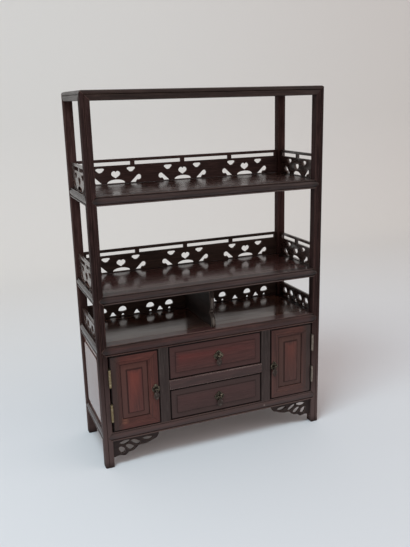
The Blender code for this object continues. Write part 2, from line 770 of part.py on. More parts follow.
def build_doors(pivots):
    face = -HALF_Y + DOOR_RECESS
    groove = DOOR_COVE + DOOR_TONGUE * 0.35
    ease = LEG_EASE * 0.6
    bead_end = STILE_FLAT + DOOR_BEAD
    deep = STILE - DOOR_TONGUE - GAP
    frame_profile = [
        (0, ease), (ease, 0), (STILE_FLAT, 0), (STILE_FLAT + ease / 2, ease),
        (STILE_FLAT + DOOR_BEAD / 2, ease / 3), (bead_end, ease),
        (STILE, DOOR_COVE), (STILE, groove), (deep, groove), (deep, groove + DOOR_GROOVE),
        (STILE, groove + DOOR_GROOVE), (STILE, DOOR_THICKNESS), (0, DOOR_THICKNESS)]
    edge, tip = STILE + GAP, STILE - DOOR_TONGUE
    front, back = groove + GAP, groove + DOOR_GROOVE - GAP
    panel_profile = [
        (edge, DOOR_THICKNESS - DOOR_PANEL_BACK), (edge, back), (tip, back), (tip, front), (edge, front),
        (edge + FIELD_BEVEL, FIELD_SINK + FIELD_STEP), (edge + FIELD_BEVEL + FIELD_STEP, FIELD_SINK)]
    for side, sx in SIDES.items():
        inner, outer, low, high = door_box(sx)
        half_u, half_v = (outer - inner) / 2, (high - low) / 2
        lay = facing_front(sx * (inner + outer) / 2, face, (low + high) / 2)
        carrier = pivots[f"{side}_door"]
        node(f"door_frame_{side}", mitred_ring(frame_profile, lay, half_u, half_v), "frame_wood", carrier)
        node(f"door_panel_{side}", stepped_board(panel_profile, lay, half_u, half_v), "panel_wood", carrier)


def hinge_leaf(sx, z, fixed):
    """One leaf of a butt hinge; the fixed leaf carries the outer knuckles and the pin."""
    x, y = hinge_axis(sx)
    half = HINGE_HEIGHT / 2
    third = HINGE_HEIGHT / 3
    knuckles = ((-half, -half + third), (half - third, half)) if fixed else ((-half + third + GAP, half - third - GAP),)
    way = 1 if fixed else -1
    near, far = LEAF_GAP / 2, LEAF_GAP / 2 + LEAF_THICKNESS
    span = sorted((x + way * sx * near, x + way * sx * far))
    bore = PIN_RADIUS + PIN_PLAY
    start = y + (bore + BARREL_RADIUS) / 2
    clear = y + BARREL_RADIUS + GAP
    end = -HALF_Y + LEAF_DEPTH
    solids = [block(span, (clear, end), (z - half, z + half))]
    for low, high in knuckles:
        solids.append(block(span, (start, clear + GAP), (z + low, z + high)))
        knuckle = rod((x, y), BARREL_RADIUS, "Z", z + low, z + high)
        if not fixed:
            hole = rod((x, y), bore, "Z", z + low - GAP, z + high + GAP)
            knuckle = combine(knuckle, hole, "DIFFERENCE")
        solids.append(knuckle)
    if fixed:
        solids.append(rod((x, y), PIN_RADIUS, "Z", z - half + third / 2, z + half - third / 2))
    return united(solids)


def build_hinges(pivots):
    for side, sx in SIDES.items():
        for name, z in (("upper", HINGE_UPPER), ("lower", HINGE_LOWER)):
            node(f"hinge_leaf_{side}_{name}", hinge_leaf(sx, z, True), "hinge_brass")
            node(f"hinge_door_leaf_{side}_{name}", hinge_leaf(sx, z, False), "hinge_brass", pivots[f"{side}_door"])


# Drawers

DRAWER_BAYS = {"upper": (DRAWER_RAIL_TOP, CABINET_UNDER), "lower": (BASE_TOP, DRAWER_RAIL_UNDER)}


def build_drawers(pivots):
    face = -HALF_Y + DRAWER_RECESS
    half_x = BAY_HALF - DRAWER_REVEAL
    for name, (floor, ceiling) in DRAWER_BAYS.items():
        low, high = floor + DRAWER_REVEAL, ceiling - DRAWER_REVEAL
        carrier = pivots[f"{name}_drawer"]
        ease = DRAWER_FIELD / 2
        profile = [(0, DRAWER_FRONT), (0, DRAWER_FIELD + ease), (ease, DRAWER_FIELD), (DRAWER_BORDER, DRAWER_FIELD),
                   (DRAWER_BORDER + DRAWER_FIELD, 0)]
        lay = facing_front(0, face, (low + high) / 2)
        front = stepped_board(profile, lay, half_x, (high - low) / 2)
        node(f"drawer_front_{name}", front, "drawer_wood", carrier)
        start, end = face + DRAWER_FRONT + GAP, CASE_INNER_Y - DRAWER_BACK_CLEAR
        bottom, rim = floor + GAP, ceiling - DRAWER_HEADROOM
        box = block((-half_x, half_x), (start, end), (bottom, rim))
        inside = block((-half_x + DRAWER_WALL, half_x - DRAWER_WALL), (start - GAP, end - DRAWER_WALL),
                       (bottom + DRAWER_BOTTOM, rim + GAP))
        node(f"drawer_box_{name}", combine(box, inside, "DIFFERENCE"), "inner_wood", carrier)


# Pulls

def plate_outline(width):
    """Four-lobed escutcheon."""
    drawn = []
    for c, s in circle(32):
        waist = 1 - PLATE_WAIST * (2 * c * s) ** 2
        drawn.append((width / 2 * waist * c, PLATE_HEIGHT / 2 * waist * s))
    return drawn


def pull_plate(x, face, z, width):
    """Plate with four pierced eyes, two lugs and the pin the drop hangs on."""
    lay = facing_front(x, face - GAP, z)
    holes = [[(across * width * 0.34 + PLATE_HOLE * c, up * PLATE_HEIGHT * 0.33 + PLATE_HOLE * s)
              for c, s in circle(8)] for across, up in ((1, 0), (0, 1), (-1, 0), (0, -1))]
    plate = extruded(plate_outline(width), lay, -PLATE_THICKNESS, 0, holes)
    front = face - GAP - PLATE_THICKNESS
    y = front - PULL_PROUD
    solids = [plate]
    for way in (-1, 1):
        span = sorted(x + way * (EYE_WIDTH / 2 + GAP + step) for step in (0, LUG_THICKNESS))
        solids.append(block(span, (y, front + PLATE_THICKNESS / 2), (z - LUG_RADIUS, z + LUG_RADIUS)))
        solids.append(rod((y, z), LUG_RADIUS, "X", *span, sides=12))
    reach = EYE_WIDTH / 2 + GAP + LUG_THICKNESS / 2
    solids.append(rod((y, z), PULL_PIN, "X", x - reach, x + reach, sides=12))
    return united(solids)


def pull_drop(x, y, z):
    """Leaf-shaped drop with an eye round the pin."""
    half = DROP_WIDTH / 2
    neck = EYE_WIDTH / 2
    side = spline([(neck, -EYE_BORE - PULL_PIN), (neck, -DROP_NECK), (half * 0.78, -DROP_LENGTH * 0.36),
                   (half, -DROP_LENGTH * 0.54), (half * 0.70, -DROP_LENGTH * 0.80), (0, -DROP_LENGTH)],
                  3, closed=False)
    outline = side + mirrored(side)[1:]
    leaf = extruded(outline, facing_front(x, y, z), -DROP_THICKNESS / 2, DROP_THICKNESS / 2)
    span = (x - neck, x + neck)
    eye = rod((y, z), EYE_RADIUS, "X", *span, sides=16)
    bore = rod((y, z), EYE_BORE, "X", span[0] - GAP, span[1] + GAP, sides=12)
    return combine(united([eye, leaf]), bore, "DIFFERENCE")


def pull_places():
    """Name, carrier, X, face Y, Z and plate width of each pull."""
    door_face = -HALF_Y + DOOR_RECESS
    drawer_face = -HALF_Y + DRAWER_RECESS
    places = []
    for side, sx in SIDES.items():
        x = sx * (door_box(sx)[0] + DOOR_PULL_IN)
        places.append((f"{side}_door", x, door_face, DOOR_PULL_Z, DOOR_PLATE_WIDTH))
    for name, (floor, ceiling) in DRAWER_BAYS.items():
        middle = (floor + ceiling) / 2
        places.append((f"{name}_drawer", DRAWER_PULL_X, drawer_face, middle, DRAWER_PLATE_WIDTH))
    return places


def build_pulls(pivots):
    for name, x, face, z, width in pull_places():
        node(f"pull_plate_{name}", pull_plate(x, face, z, width), "pull_brass", pivots[name])
        y = face - GAP - PLATE_THICKNESS - PULL_PROUD
        node(f"pull_drop_{name}", pull_drop(x, y, z), "pull_brass", pivots[f"{name}_pull"])


# Scroll brackets

def bracket_outline():
    """Lower edge as lobes that shrink towards the tip; u from the leg, v down from the rail."""
    length, drop = BRACKET_LENGTH, BRACKET_DROP
    lobes = spline([
        (0.03 * length, drop), (0.13 * length, 0.94 * drop), (0.25 * length, drop), (0.33 * length, 0.86 * drop),
        (0.42 * length, 0.83 * drop), (0.50 * length, 0.70 * drop), (0.56 * length, 0.58 * drop),
        (0.68 * length, 0.57 * drop), (0.80 * length, 0.50 * drop), (0.87 * length, 0.42 * drop),
        (0.95 * length, 0.35 * drop), (length, 0.16 * drop)], 3, closed=False)
    return [(0, 0), (0, drop)] + lobes + [(length, 0)]


def bracket_holes():
    length, drop = BRACKET_LENGTH, BRACKET_DROP

    def bean(points):
        return spline([(u * length, v * drop) for u, v in points], 3)

    return [
        bean([(0.14, 0.27), (0.21, 0.14), (0.34, 0.13), (0.36, 0.23), (0.24, 0.36)]),
        bean([(0.38, 0.23), (0.46, 0.17), (0.57, 0.34), (0.58, 0.47), (0.51, 0.50)]),
        bean([(0.27, 0.46), (0.34, 0.39), (0.44, 0.56), (0.44, 0.67), (0.36, 0.74)]),
        bean([(0.12, 0.51), (0.18, 0.46), (0.25, 0.62), (0.24, 0.78), (0.17, 0.82)]),
        bean([(0.63, 0.24), (0.72, 0.17), (0.83, 0.20), (0.86, 0.29), (0.76, 0.39)]),
    ]


def build_brackets():
    under = BASE_TOP - BASE_RAIL_HEIGHT - GAP
    front = -HALF_Y + BRACKET_SETBACK
    for side, sx in SIDES.items():
        lay = lambda u, v, w, s=sx: Vector((s * (IN_X - GAP - u), front + w, under - v))
        solid = extruded(bracket_outline(), lay, 0, BRACKET_THICKNESS, bracket_holes())
        node(f"corner_bracket_{side}", solid, "gallery_wood")


def build_pivots():
    pivots = {}
    for side, sx in SIDES.items():
        x, y = hinge_axis(sx)
        pivots[f"{side}_door"] = pivot(f"{side}_door_pivot", (x, y, (HINGE_UPPER + HINGE_LOWER) / 2))
    for name, (floor, ceiling) in DRAWER_BAYS.items():
        pivots[f"{name}_drawer"] = pivot(f"{name}_drawer_slide", (0, -HALF_Y, (floor + ceiling) / 2))
    for name, x, face, z, _ in pull_places():
        y = face - GAP - PLATE_THICKNESS - PULL_PROUD
        pivots[f"{name}_pull"] = pivot(f"{name}_pull_pivot", (x, y, z), pivots[name])
    return pivots


def main():
    clear_scene()
    pivots = build_pivots()
    build_legs()
    build_frames()
    build_galleries()
    build_divider()
    build_side_panels()
    build_carcase()
    build_doors(pivots)
    build_hinges(pivots)
    build_drawers(pivots)
    build_pulls(pivots)
    build_brackets()


main()
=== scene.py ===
# %% [markdown]
# # A small rosewood display shelf
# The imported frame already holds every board, rail, hinge and pull at its real size and place. This
# lesson gives those solids their finish: dark lacquered rosewood with a redder wood in the doors and
# drawers, aged brass, and the small fittings that are too fine for the construction model.
# All lengths are metres, the front faces -Y and the legs stand on z = 0.

# %% Load the frame
import json
import math

import bmesh
import bpy
from mathutils import Matrix, Vector


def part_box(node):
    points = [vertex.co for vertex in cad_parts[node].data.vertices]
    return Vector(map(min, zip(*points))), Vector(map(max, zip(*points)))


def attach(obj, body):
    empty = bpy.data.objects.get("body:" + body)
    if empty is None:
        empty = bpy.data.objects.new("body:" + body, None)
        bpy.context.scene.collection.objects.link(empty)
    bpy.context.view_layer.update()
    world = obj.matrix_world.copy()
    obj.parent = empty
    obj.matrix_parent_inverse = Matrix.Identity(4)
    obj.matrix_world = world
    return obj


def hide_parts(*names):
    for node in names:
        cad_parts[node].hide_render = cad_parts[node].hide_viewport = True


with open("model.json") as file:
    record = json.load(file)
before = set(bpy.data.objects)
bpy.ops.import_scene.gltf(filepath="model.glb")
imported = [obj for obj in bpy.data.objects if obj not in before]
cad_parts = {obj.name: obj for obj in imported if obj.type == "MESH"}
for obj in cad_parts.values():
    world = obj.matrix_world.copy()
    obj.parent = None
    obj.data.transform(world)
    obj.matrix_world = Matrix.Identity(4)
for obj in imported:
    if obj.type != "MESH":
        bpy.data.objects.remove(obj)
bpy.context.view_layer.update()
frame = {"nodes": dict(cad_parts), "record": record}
solids = frame["nodes"]
MM = 0.001

# %% [markdown]
# ## Two helpers for every shader
# Colours are easiest to read as sRGB hex, the way a paint chart gives them, but shaders count in
# linear light, so one function converts. Node trees grow long when each node takes five lines, so a
# second function adds a node, sets its options and fills or links its sockets in one call. Sockets
# that share a name are given by number: a Mix node has its factor at 0, vectors at 4 and 5 and colours
# at 6 and 7, a Map Range takes a value at 0 from the range 1 to 2 to the range 3 to 4.

# %% Colour and node helpers
MATH = "ShaderNodeMath"
VECTOR_MATH = "ShaderNodeVectorMath"
MIX = "ShaderNodeMix"
RANGE = "ShaderNodeMapRange"
NOISE = "ShaderNodeTexNoise"


def linear(code):
    """sRGB hex to the linear RGBA that a shader socket takes."""
    parts = [int(code[i:i + 2], 16) / 255 for i in (1, 3, 5)]
    return (*[c / 12.92 if c <= 0.04045 else ((c + 0.055) / 1.055) ** 2.4 for c in parts], 1.0)


def add(tree, kind, sockets=None, **settings):
    """Add a node; a socket given as a node or an output is linked, any other value is set."""
    node = tree.nodes.new(kind)
    for name, value in settings.items():
        setattr(node, name, value)
    for name, value in (sockets or {}).items():
        if isinstance(value, bpy.types.Node):
            value = value.outputs[0]
        if isinstance(value, bpy.types.NodeSocket):
            tree.links.new(value, node.inputs[name])
        else:
            node.inputs[name].default_value = value
    return node


print("dark lacquer in linear light:", [round(c, 4) for c in linear("#33201c")[:3]])

# %% [markdown]
# ## Which way the grain runs
# A joiner lays the grain along each piece. Legs run up, shelves run across, and in a mitred frame the
# grain turns the corner at the 45 degree joint. The solids keep their place in their own coordinates,
# so the shader can read a point's position and put the along-the-grain axis first. For a mitred frame
# it compares the distance to two edges: the nearer edge belongs to the rail that the point is in. The
# same two distances are equal on the joint itself, which gives a fine dark joint line. A drawer box
# changes direction at its side boards instead.

# %% Grain directions
JOINT_LINE = 0.25 * MM
BOX_WALL = 6.2 * MM
AXIS_ORDER = {"X": "XYZ", "Y": "YXZ", "Z": "ZXY"}


def grain_vector(tree, split, axis):
    """Position with the grain axis first."""
    return add(tree, "ShaderNodeCombineXYZ", {i: split.outputs[c] for i, c in enumerate(AXIS_ORDER[axis])})


def away_from(tree, split, letter, middle):
    """Distance of a point from a middle plane and from its mirror image across X = 0."""
    mirrored = add(tree, MATH, {0: split.outputs[letter]}, operation="ABSOLUTE")
    offset = add(tree, MATH, {0: mirrored, 1: middle}, operation="SUBTRACT")
    return add(tree, MATH, {0: offset}, operation="ABSOLUTE")


def straight(axis):
    """Grain along one axis, no joint line."""
    return lambda tree, split: (grain_vector(tree, split, axis), None)


def mitred(second, centre, half):
    """Grain that turns at the mitres of a frame lying in the X and second axes."""
    def lay(tree, split):
        reaches = []
        for letter, middle, extent in zip(("X", second), centre, half):
            away = away_from(tree, split, letter, middle)
            reaches.append(add(tree, MATH, {0: extent, 1: away}, operation="SUBTRACT"))
        across = add(tree, MATH, {0: reaches[0], 1: reaches[1]}, operation="GREATER_THAN")
        sides = {0: across, 4: grain_vector(tree, split, second), 5: grain_vector(tree, split, "X")}
        turned = add(tree, MIX, sides, data_type="VECTOR").outputs[1]
        joint = add(tree, MATH, {0: reaches[0], 1: reaches[1], 2: JOINT_LINE}, operation="COMPARE")
        return turned, joint
    return lay


def boxed(half_wide):
    """Grain along the two sides of a box and across everywhere else in it."""
    def lay(tree, split):
        away = away_from(tree, split, "X", 0.0)
        in_side = add(tree, MATH, {0: away, 1: half_wide - BOX_WALL}, operation="GREATER_THAN")
        sides = {0: in_side, 4: grain_vector(tree, split, "X"), 5: grain_vector(tree, split, "Y")}
        return add(tree, MIX, sides, data_type="VECTOR").outputs[1], None
    return lay


def middle_and_half(node, first, second):
    """Centre and half size of a node's box in two axes, mirrored to the positive side."""
    low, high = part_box(node)
    centre = [abs(low[i] + high[i]) / 2 for i in (first, second)]
    return centre, [(high[i] - low[i]) / 2 for i in (first, second)]


print(f"joint lines {JOINT_LINE / MM:.2f} mm, box sides {BOX_WALL / MM:.1f} mm")

# %% [markdown]
# A solid's name says what it is, and so which way its grain runs: frames turn at their mitres, legs
# and upright panels run up, boards that reach from front to back run deep and the rest runs across.

# %% Grain of each solid
RUNS = {
    "up": straight("Z"),
    "across": straight("X"),
    "deep": straight("Y"),
    "plan_mitre": mitred("Y", *middle_and_half("upper_shelf_frame", 0, 1)),
    "door_mitre": mitred("Z", *middle_and_half("door_frame_left", 0, 2)),
    "drawer": boxed(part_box("drawer_box_upper")[1].x),
}


def run_of(name):
    """Grain direction of a solid, from what it is."""
    if name.startswith("door_frame"):
        return "door_mitre"
    if name.endswith("_frame"):
        return "plan_mitre"
    if name.startswith("drawer_box"):
        return "drawer"
    if name.startswith(("leg_", "muntin_", "door_panel_", "side_panel_")):
        return "up"
    if name.startswith(("partition_", "lower_divider")):
        return "deep"
    if name.startswith("gallery_") and "back" not in name:
        return "deep"
    return "across"


print({run: sum(run_of(name) == run for name in solids) for run in RUNS})

# %% [markdown]
# ## Lacquered rosewood
# The shelf is a dark rosewood, the dense wood that Chinese joiners call red wood, wiped with lacquer
# and polished. The eye gets four things from it: slow dark and light figure along the board, short
# fine pores, a shine that mirrors pale things at a low angle, and age, laid on together with painted
# light: painted shade in the hollows, arrises paler from wear and from a painted highlight, and a grey
# low down that paints the pale floor's reflection. Image textures could show one board well, but noise
# stretched along the grain suits every length and never repeats. Real pores are about 0.2 mm wide, too
# fine for this picture, so they are drawn at 0.9 mm. The hair lines that polishing left on the shelves
# are finer still, and drawn at 0.6 mm.

# %% Wood patterns
# Width across the grain, how many times longer a mark is along it, and the noise's detail.
GRAIN_FIELDS = {
    "figure": (11 * MM, 16, 4),
    "fibre": (2.2 * MM, 16, 2),
    "pore": (0.9 * MM, 9, 1),
    "polish": (0.6 * MM, 60, 1),
    "patch": (60 * MM, 2, 2),
}
GRAIN_WANDER = 0.35
PIECE_SHIFT = 3.7


def wood_patterns(tree, vector):
    """Noise fields stretched along the grain, shifted so that no two pieces share a pattern."""
    chance = add(tree, "ShaderNodeObjectInfo").outputs["Random"]
    shift = add(tree, MATH, {0: chance, 1: PIECE_SHIFT}, operation="MULTIPLY")
    vector = add(tree, VECTOR_MATH, {0: vector, 1: shift}, operation="ADD")
    made = {}
    for name, (width, stretch, detail) in GRAIN_FIELDS.items():
        scaled = add(tree, VECTOR_MATH, {0: vector, 1: (1 / stretch, 1, 1)}, operation="MULTIPLY")
        noise = {"Vector": scaled, "Scale": 1 / width, "Detail": detail, "Distortion": GRAIN_WANDER}
        made[name] = add(tree, NOISE, noise)
    return made


print("widths in mm:", {name: round(row[0] / MM, 1) for name, row in GRAIN_FIELDS.items()})

# %% [markdown]
# Age and painted light follow the shape. On the wood the outer edges are made paler, partly as wear and
# partly as a painted highlight, and the hollows darker, which is painted shade; on brass the edges are
# worn bright and the hollows hold tarnish. A mask could be painted for one shape, but nodes find these
# places on all of them. A bevel node turns the normal near an edge, so where it differs from the true
# normal there is an edge. An occlusion node measures how much open sky a point has, so where there is
# little there is a hollow.

# %% Edges and hollows
EDGE_REACH = 1.1 * MM
HOLLOW_REACH = 3.0 * MM
EDGE_MASK = {1: 0.995, 2: 0.82}
HOLLOW_MASK = {1: 0.92, 2: 0.45}
MASK_SAMPLES = 4


def edges_and_hollows(tree, edge_reach, hollow_reach):
    """Two masks from the piece's own shape: outer edges and sheltered hollows."""
    eased = add(tree, "ShaderNodeBevel", {"Radius": edge_reach}, samples=MASK_SAMPLES)
    facing = add(tree, "ShaderNodeNewGeometry").outputs["Normal"]
    match = add(tree, VECTOR_MATH, {0: eased, 1: facing}, operation="DOT_PRODUCT").outputs["Value"]
    edge = add(tree, RANGE, {0: match, **EDGE_MASK})
    reach = {"Distance": hollow_reach}
    sky = add(tree, "ShaderNodeAmbientOcclusion", reach, samples=MASK_SAMPLES, only_local=True)
    hollow = add(tree, RANGE, {0: sky.outputs["AO"], **HOLLOW_MASK})
    outer = add(tree, MATH, {0: 1.0, 1: hollow}, operation="SUBTRACT")
    return add(tree, MATH, {0: edge, 1: outer}, operation="MULTIPLY"), hollow


print(f"edges within {EDGE_REACH / MM:.1f} mm, hollows within {HOLLOW_REACH / MM:.1f} mm")

# %% [markdown]
# Doors and drawers are framed fields: a raised middle with a step round it. The middle is a redder
# wood, which fades towards the bottom as a painted reflection of the pale floor. Painted shade lines
# darken the step and the outer edges, where the gaps and steps throw shade. The shader measures how far
# a point lies outside the field's rectangle and looks up that distance in a few bands, on the front
# face only. The hinge side of a door is greyer.

# %% Framed fields
STEP_WIDTH = 2.2 * MM
# Tone of the painted shade lines in the steps and along the outer edges.
PAINTED_SHADE_LINE = "#120a09"
HINGE_GREY = "#35302e"
HINGE_MASK = {1: 0.192, 2: 0.205, 4: 0.80}
FRONT_MASK = {1: -0.0775, 2: -0.0785}
# Heights where the heart comes in; its fading below is a painted reflection of the pale floor.
PAINTED_REFLECTION_SPAN = (-0.7, 0.5)
HEART_EDGE = 9 * MM
HEART_AMOUNT = 0.7
BORDER_AMOUNT = 0.85


def framed_field(tree, split, wood, field):
    """Layers by distance outside the field: heart and border or hinge side, and the painted shade lines."""
    centre, half = field
    distances = []
    for letter, middle, extent in zip("XZ", centre, half):
        away = away_from(tree, split, letter, middle)
        distances.append(add(tree, MATH, {0: away, 1: extent}, operation="SUBTRACT"))
    outside = add(tree, MATH, {0: distances[0], 1: distances[1]}, operation="MAXIMUM")
    front = add(tree, RANGE, {0: split.outputs["Y"], **FRONT_MASK})
    if "heart" in wood:
        # Painted reflection: the heart fades towards the bottom, where the lacquer mirrors the pale floor.
        low, high = [centre[1] + share * half[1] for share in PAINTED_REFLECTION_SPAN]
        rise = add(tree, RANGE, {0: split.outputs["Z"], 1: low, 2: high})
        inside = add(tree, RANGE, {0: outside, 1: 0.0, 2: -HEART_EDGE, 4: HEART_AMOUNT})
        heart = add(tree, MATH, {0: rise, 1: inside}, operation="MULTIPLY")
        if "lean" in wood:
            lean = add(tree, RANGE, {0: split.outputs["X"], 1: half[0], 2: -half[0], 3: wood["lean"]})
            heart = add(tree, MATH, {0: heart, 1: lean}, operation="MULTIPLY")
        border = add(tree, RANGE, {0: outside, 1: 0.0, 2: STEP_WIDTH, 4: BORDER_AMOUNT})
        layers = [(heart, wood["heart"]), (border, wood["border"])]
    else:
        side = add(tree, MATH, {0: split.outputs["X"]}, operation="ABSOLUTE")
        layers = [(add(tree, RANGE, {0: side, **HINGE_MASK}), HINGE_GREY)]
    lines = []
    # Painted shade: dark bands in the step and along the outer edges, where gaps and steps throw shade.
    for first, last, amount in wood["painted_shade_bands"]:
        middle = (first + last) / 2 * MM
        reach = (last - first) / 2 * MM
        band = add(tree, MATH, {0: outside, 1: middle, 2: reach}, operation="COMPARE")
        lines.append((add(tree, MATH, {0: band, 1: amount}, operation="MULTIPLY"), PAINTED_SHADE_LINE))

    def in_front(rows):
        return [(add(tree, MATH, {0: mask, 1: front}, operation="MULTIPLY"), tone) for mask, tone in rows]
    return in_front(layers), in_front(lines)


print(f"the front's colours end {-FRONT_MASK[1] / MM:.1f} mm in front of the shelf's middle")

# %% [markdown]
# The finish is a stack of thin layers, like the real wood's: figure, fibres and pores first, then the
# colours of a framed field, then age together with painted light and shade, and the painted shade lines
# of a framed field last. Each layer is a mask and a tone, so one loop can lay them all. The lacquer's
# roughness follows the same patterns, which keeps the shine uneven. Lacquer mirrors like a clear resin,
# so its index of refraction is 1.5; how much of it was left on is each wood's own.

# %% Rosewood
# Near black for dark joints, painted shade in the hollows and darker feet.
JOINT_AND_SHADE_DARK = "#0d0706"
HOLLOW_SHADE = 0.8
JOINT_GRIME = 0.7
# A grey low down that paints the pale floor's reflection in the lacquer.
FLOOR_REFLECTION_GREY = "#5b4c4a"
FLOOR_REFLECTION_FROM = 0.240
FLOOR_REFLECTION_FULL = 0.060
FOOT_MASK = {1: 14 * MM, 2: 0.0, 4: 0.75}
TIP_MASK = {1: 0.207, 2: 0.217, 4: 0.95}
FIGURE_MASK = {1: 0.34, 2: 0.66}
STREAK_MASK = {1: 0.46, 2: 0.74, 4: 0.65}
PORE_MASK = {1: 0.58, 2: 0.70, 4: 0.65}
EDGE_PATCH_MASK = {1: 0.35, 2: 0.65, 3: 0.15}
RAGGED_MASK = {1: 0.25, 2: 0.75}
SCUFF_CORE = 0.3
SCUFF_AMOUNT = 0.8
SHEEN_SHARE = 0.5
SHEEN_RANGE = {1: 0.6, 2: 0.9}
GRAIN_DEPTH = 0.15 * MM
LACQUER_IOR = 1.50
COAT_ROUGHNESS = 0.08
# What a wood has where its own row says nothing else.
PLAIN_WOOD = {"coat": 0.0, "relief": 0.20, "floor_reflection": 0.0, "pale_edge_amount": 1.0, "scuffs": []}


def age_and_painted_light(tree, place, split, patterns, wood):
    """Age and painted light: a grey low down that paints the floor's reflection, edges paler from wear and
    painted highlight, painted shade in hollows, darker feet and single scuffs.
    """
    # Painted reflection: greyer low down, where the lacquer mirrors the pale floor.
    floor_reflection = add(tree, RANGE, {0: split.outputs["Z"], 1: FLOOR_REFLECTION_FROM, 2: FLOOR_REFLECTION_FULL, 4: wood["floor_reflection"]})
    pale_edge_mask, hollow = edges_and_hollows(tree, EDGE_REACH, HOLLOW_REACH)
    edge_patches = add(tree, RANGE, {0: patterns["patch"], **EDGE_PATCH_MASK})
    edge_amount = add(tree, MATH, {0: edge_patches, 1: wood["pale_edge_amount"]}, operation="MULTIPLY")
    # Paler outer edges: partly wear, partly a painted highlight.
    pale_edges = add(tree, MATH, {0: pale_edge_mask, 1: edge_amount}, operation="MULTIPLY", use_clamp=True)
    # Painted shade: the hollows are darkened.
    painted_hollow_shade = add(tree, MATH, {0: hollow, 1: HOLLOW_SHADE}, operation="MULTIPLY")
    # Feet are made darker towards the floor.
    foot = add(tree, RANGE, {0: split.outputs["Z"], **FOOT_MASK})
    layers = [(floor_reflection, FLOOR_REFLECTION_GREY), (pale_edges, wood["edge_wear_and_highlight"]), (painted_hollow_shade, JOINT_AND_SHADE_DARK), (foot, JOINT_AND_SHADE_DARK)]
    for spot, radius, tone in wood["scuffs"]:
        near = add(tree, VECTOR_MATH, {0: place, 1: spot}, operation="DISTANCE").outputs["Value"]
        worn_off = add(tree, RANGE, {0: near, 1: radius, 2: SCUFF_CORE * radius, 4: SCUFF_AMOUNT})
        ragged = add(tree, RANGE, {0: patterns["fibre"], **RAGGED_MASK})
        layers.append((add(tree, MATH, {0: worn_off, 1: ragged}, operation="MULTIPLY"), tone))
    return layers


def lacquer(tree, shader, patterns, pore, wood):
    """Uneven shine, the relief of open grain or of polishing lines, and a second coat."""
    relief = add(tree, MATH, {0: patterns["fibre"], 1: pore}, operation="SUBTRACT")
    depth, smear = wood["relief"], patterns["fibre"]
    if "polish" in wood:
        relief, depth, smear = patterns["polish"], wood["polish"], patterns["figure"]
    sheen = {0: smear, 1: SHEEN_SHARE, 2: patterns["patch"]}
    sheen = add(tree, MATH, sheen, operation="MULTIPLY_ADD")
    low, high = wood["rough"]
    rough = add(tree, RANGE, {0: sheen, **SHEEN_RANGE, 3: low, 4: high})
    tree.links.new(rough.outputs[0], shader.inputs["Roughness"])
    bump = add(tree, "ShaderNodeBump", {"Height": relief, "Strength": depth, "Distance": GRAIN_DEPTH})
    tree.links.new(bump.outputs[0], shader.inputs["Normal"])
    shader.inputs["IOR"].default_value = LACQUER_IOR
    shader.inputs["Specular IOR Level"].default_value = wood["shine"]
    shader.inputs["Coat Weight"].default_value = wood["coat"]
    shader.inputs["Coat Roughness"].default_value = COAT_ROUGHNESS


def rosewood(name, wood, run, field=None):
    """Lacquered wood with figure, pores, age, painted light and shade, and joint lines along the given run.
    """
    wood = {**PLAIN_WOOD, **wood}
    material = bpy.data.materials.new(name)
    material.use_nodes = True
    tree = material.node_tree
    shader = tree.nodes["Principled BSDF"]
    place = add(tree, "ShaderNodeTexCoord").outputs["Object"]
    split = add(tree, "ShaderNodeSeparateXYZ", {0: place})
    vector, joint = run(tree, split)
    patterns = wood_patterns(tree, vector)
    figure = add(tree, RANGE, {0: patterns["figure"], **FIGURE_MASK})
    streak = add(tree, RANGE, {0: patterns["fibre"], **STREAK_MASK})
    pore = add(tree, RANGE, {0: patterns["pore"], **PORE_MASK})
    layers = [(figure, wood["body"]), (streak, wood["light"]), (pore, wood["deep"])]
    lines = []
    if field:
        painted, lines = framed_field(tree, split, wood, field)
        layers += painted
    if "tip" in wood:
        side = add(tree, MATH, {0: split.outputs["X"]}, operation="ABSOLUTE")
        layers.append((add(tree, RANGE, {0: side, **TIP_MASK}), wood["tip"]))
    layers += age_and_painted_light(tree, place, split, patterns, wood)
    if joint:
        layers.append((add(tree, MATH, {0: joint, 1: JOINT_GRIME}, operation="MULTIPLY"), JOINT_AND_SHADE_DARK))
    colour = linear(wood["deep"])
    for amount, tone in layers + lines:
        colour = add(tree, MIX, {0: amount, 6: colour, 7: linear(tone)}, data_type="RGBA").outputs[2]
    tree.links.new(colour, shader.inputs["Base Color"])
    lacquer(tree, shader, patterns, pore, wood)
    return material


print(f"bloom from {FLOOR_REFLECTION_FROM / MM:.0f} mm down to {FLOOR_REFLECTION_FULL / MM:.0f} mm above the floor")
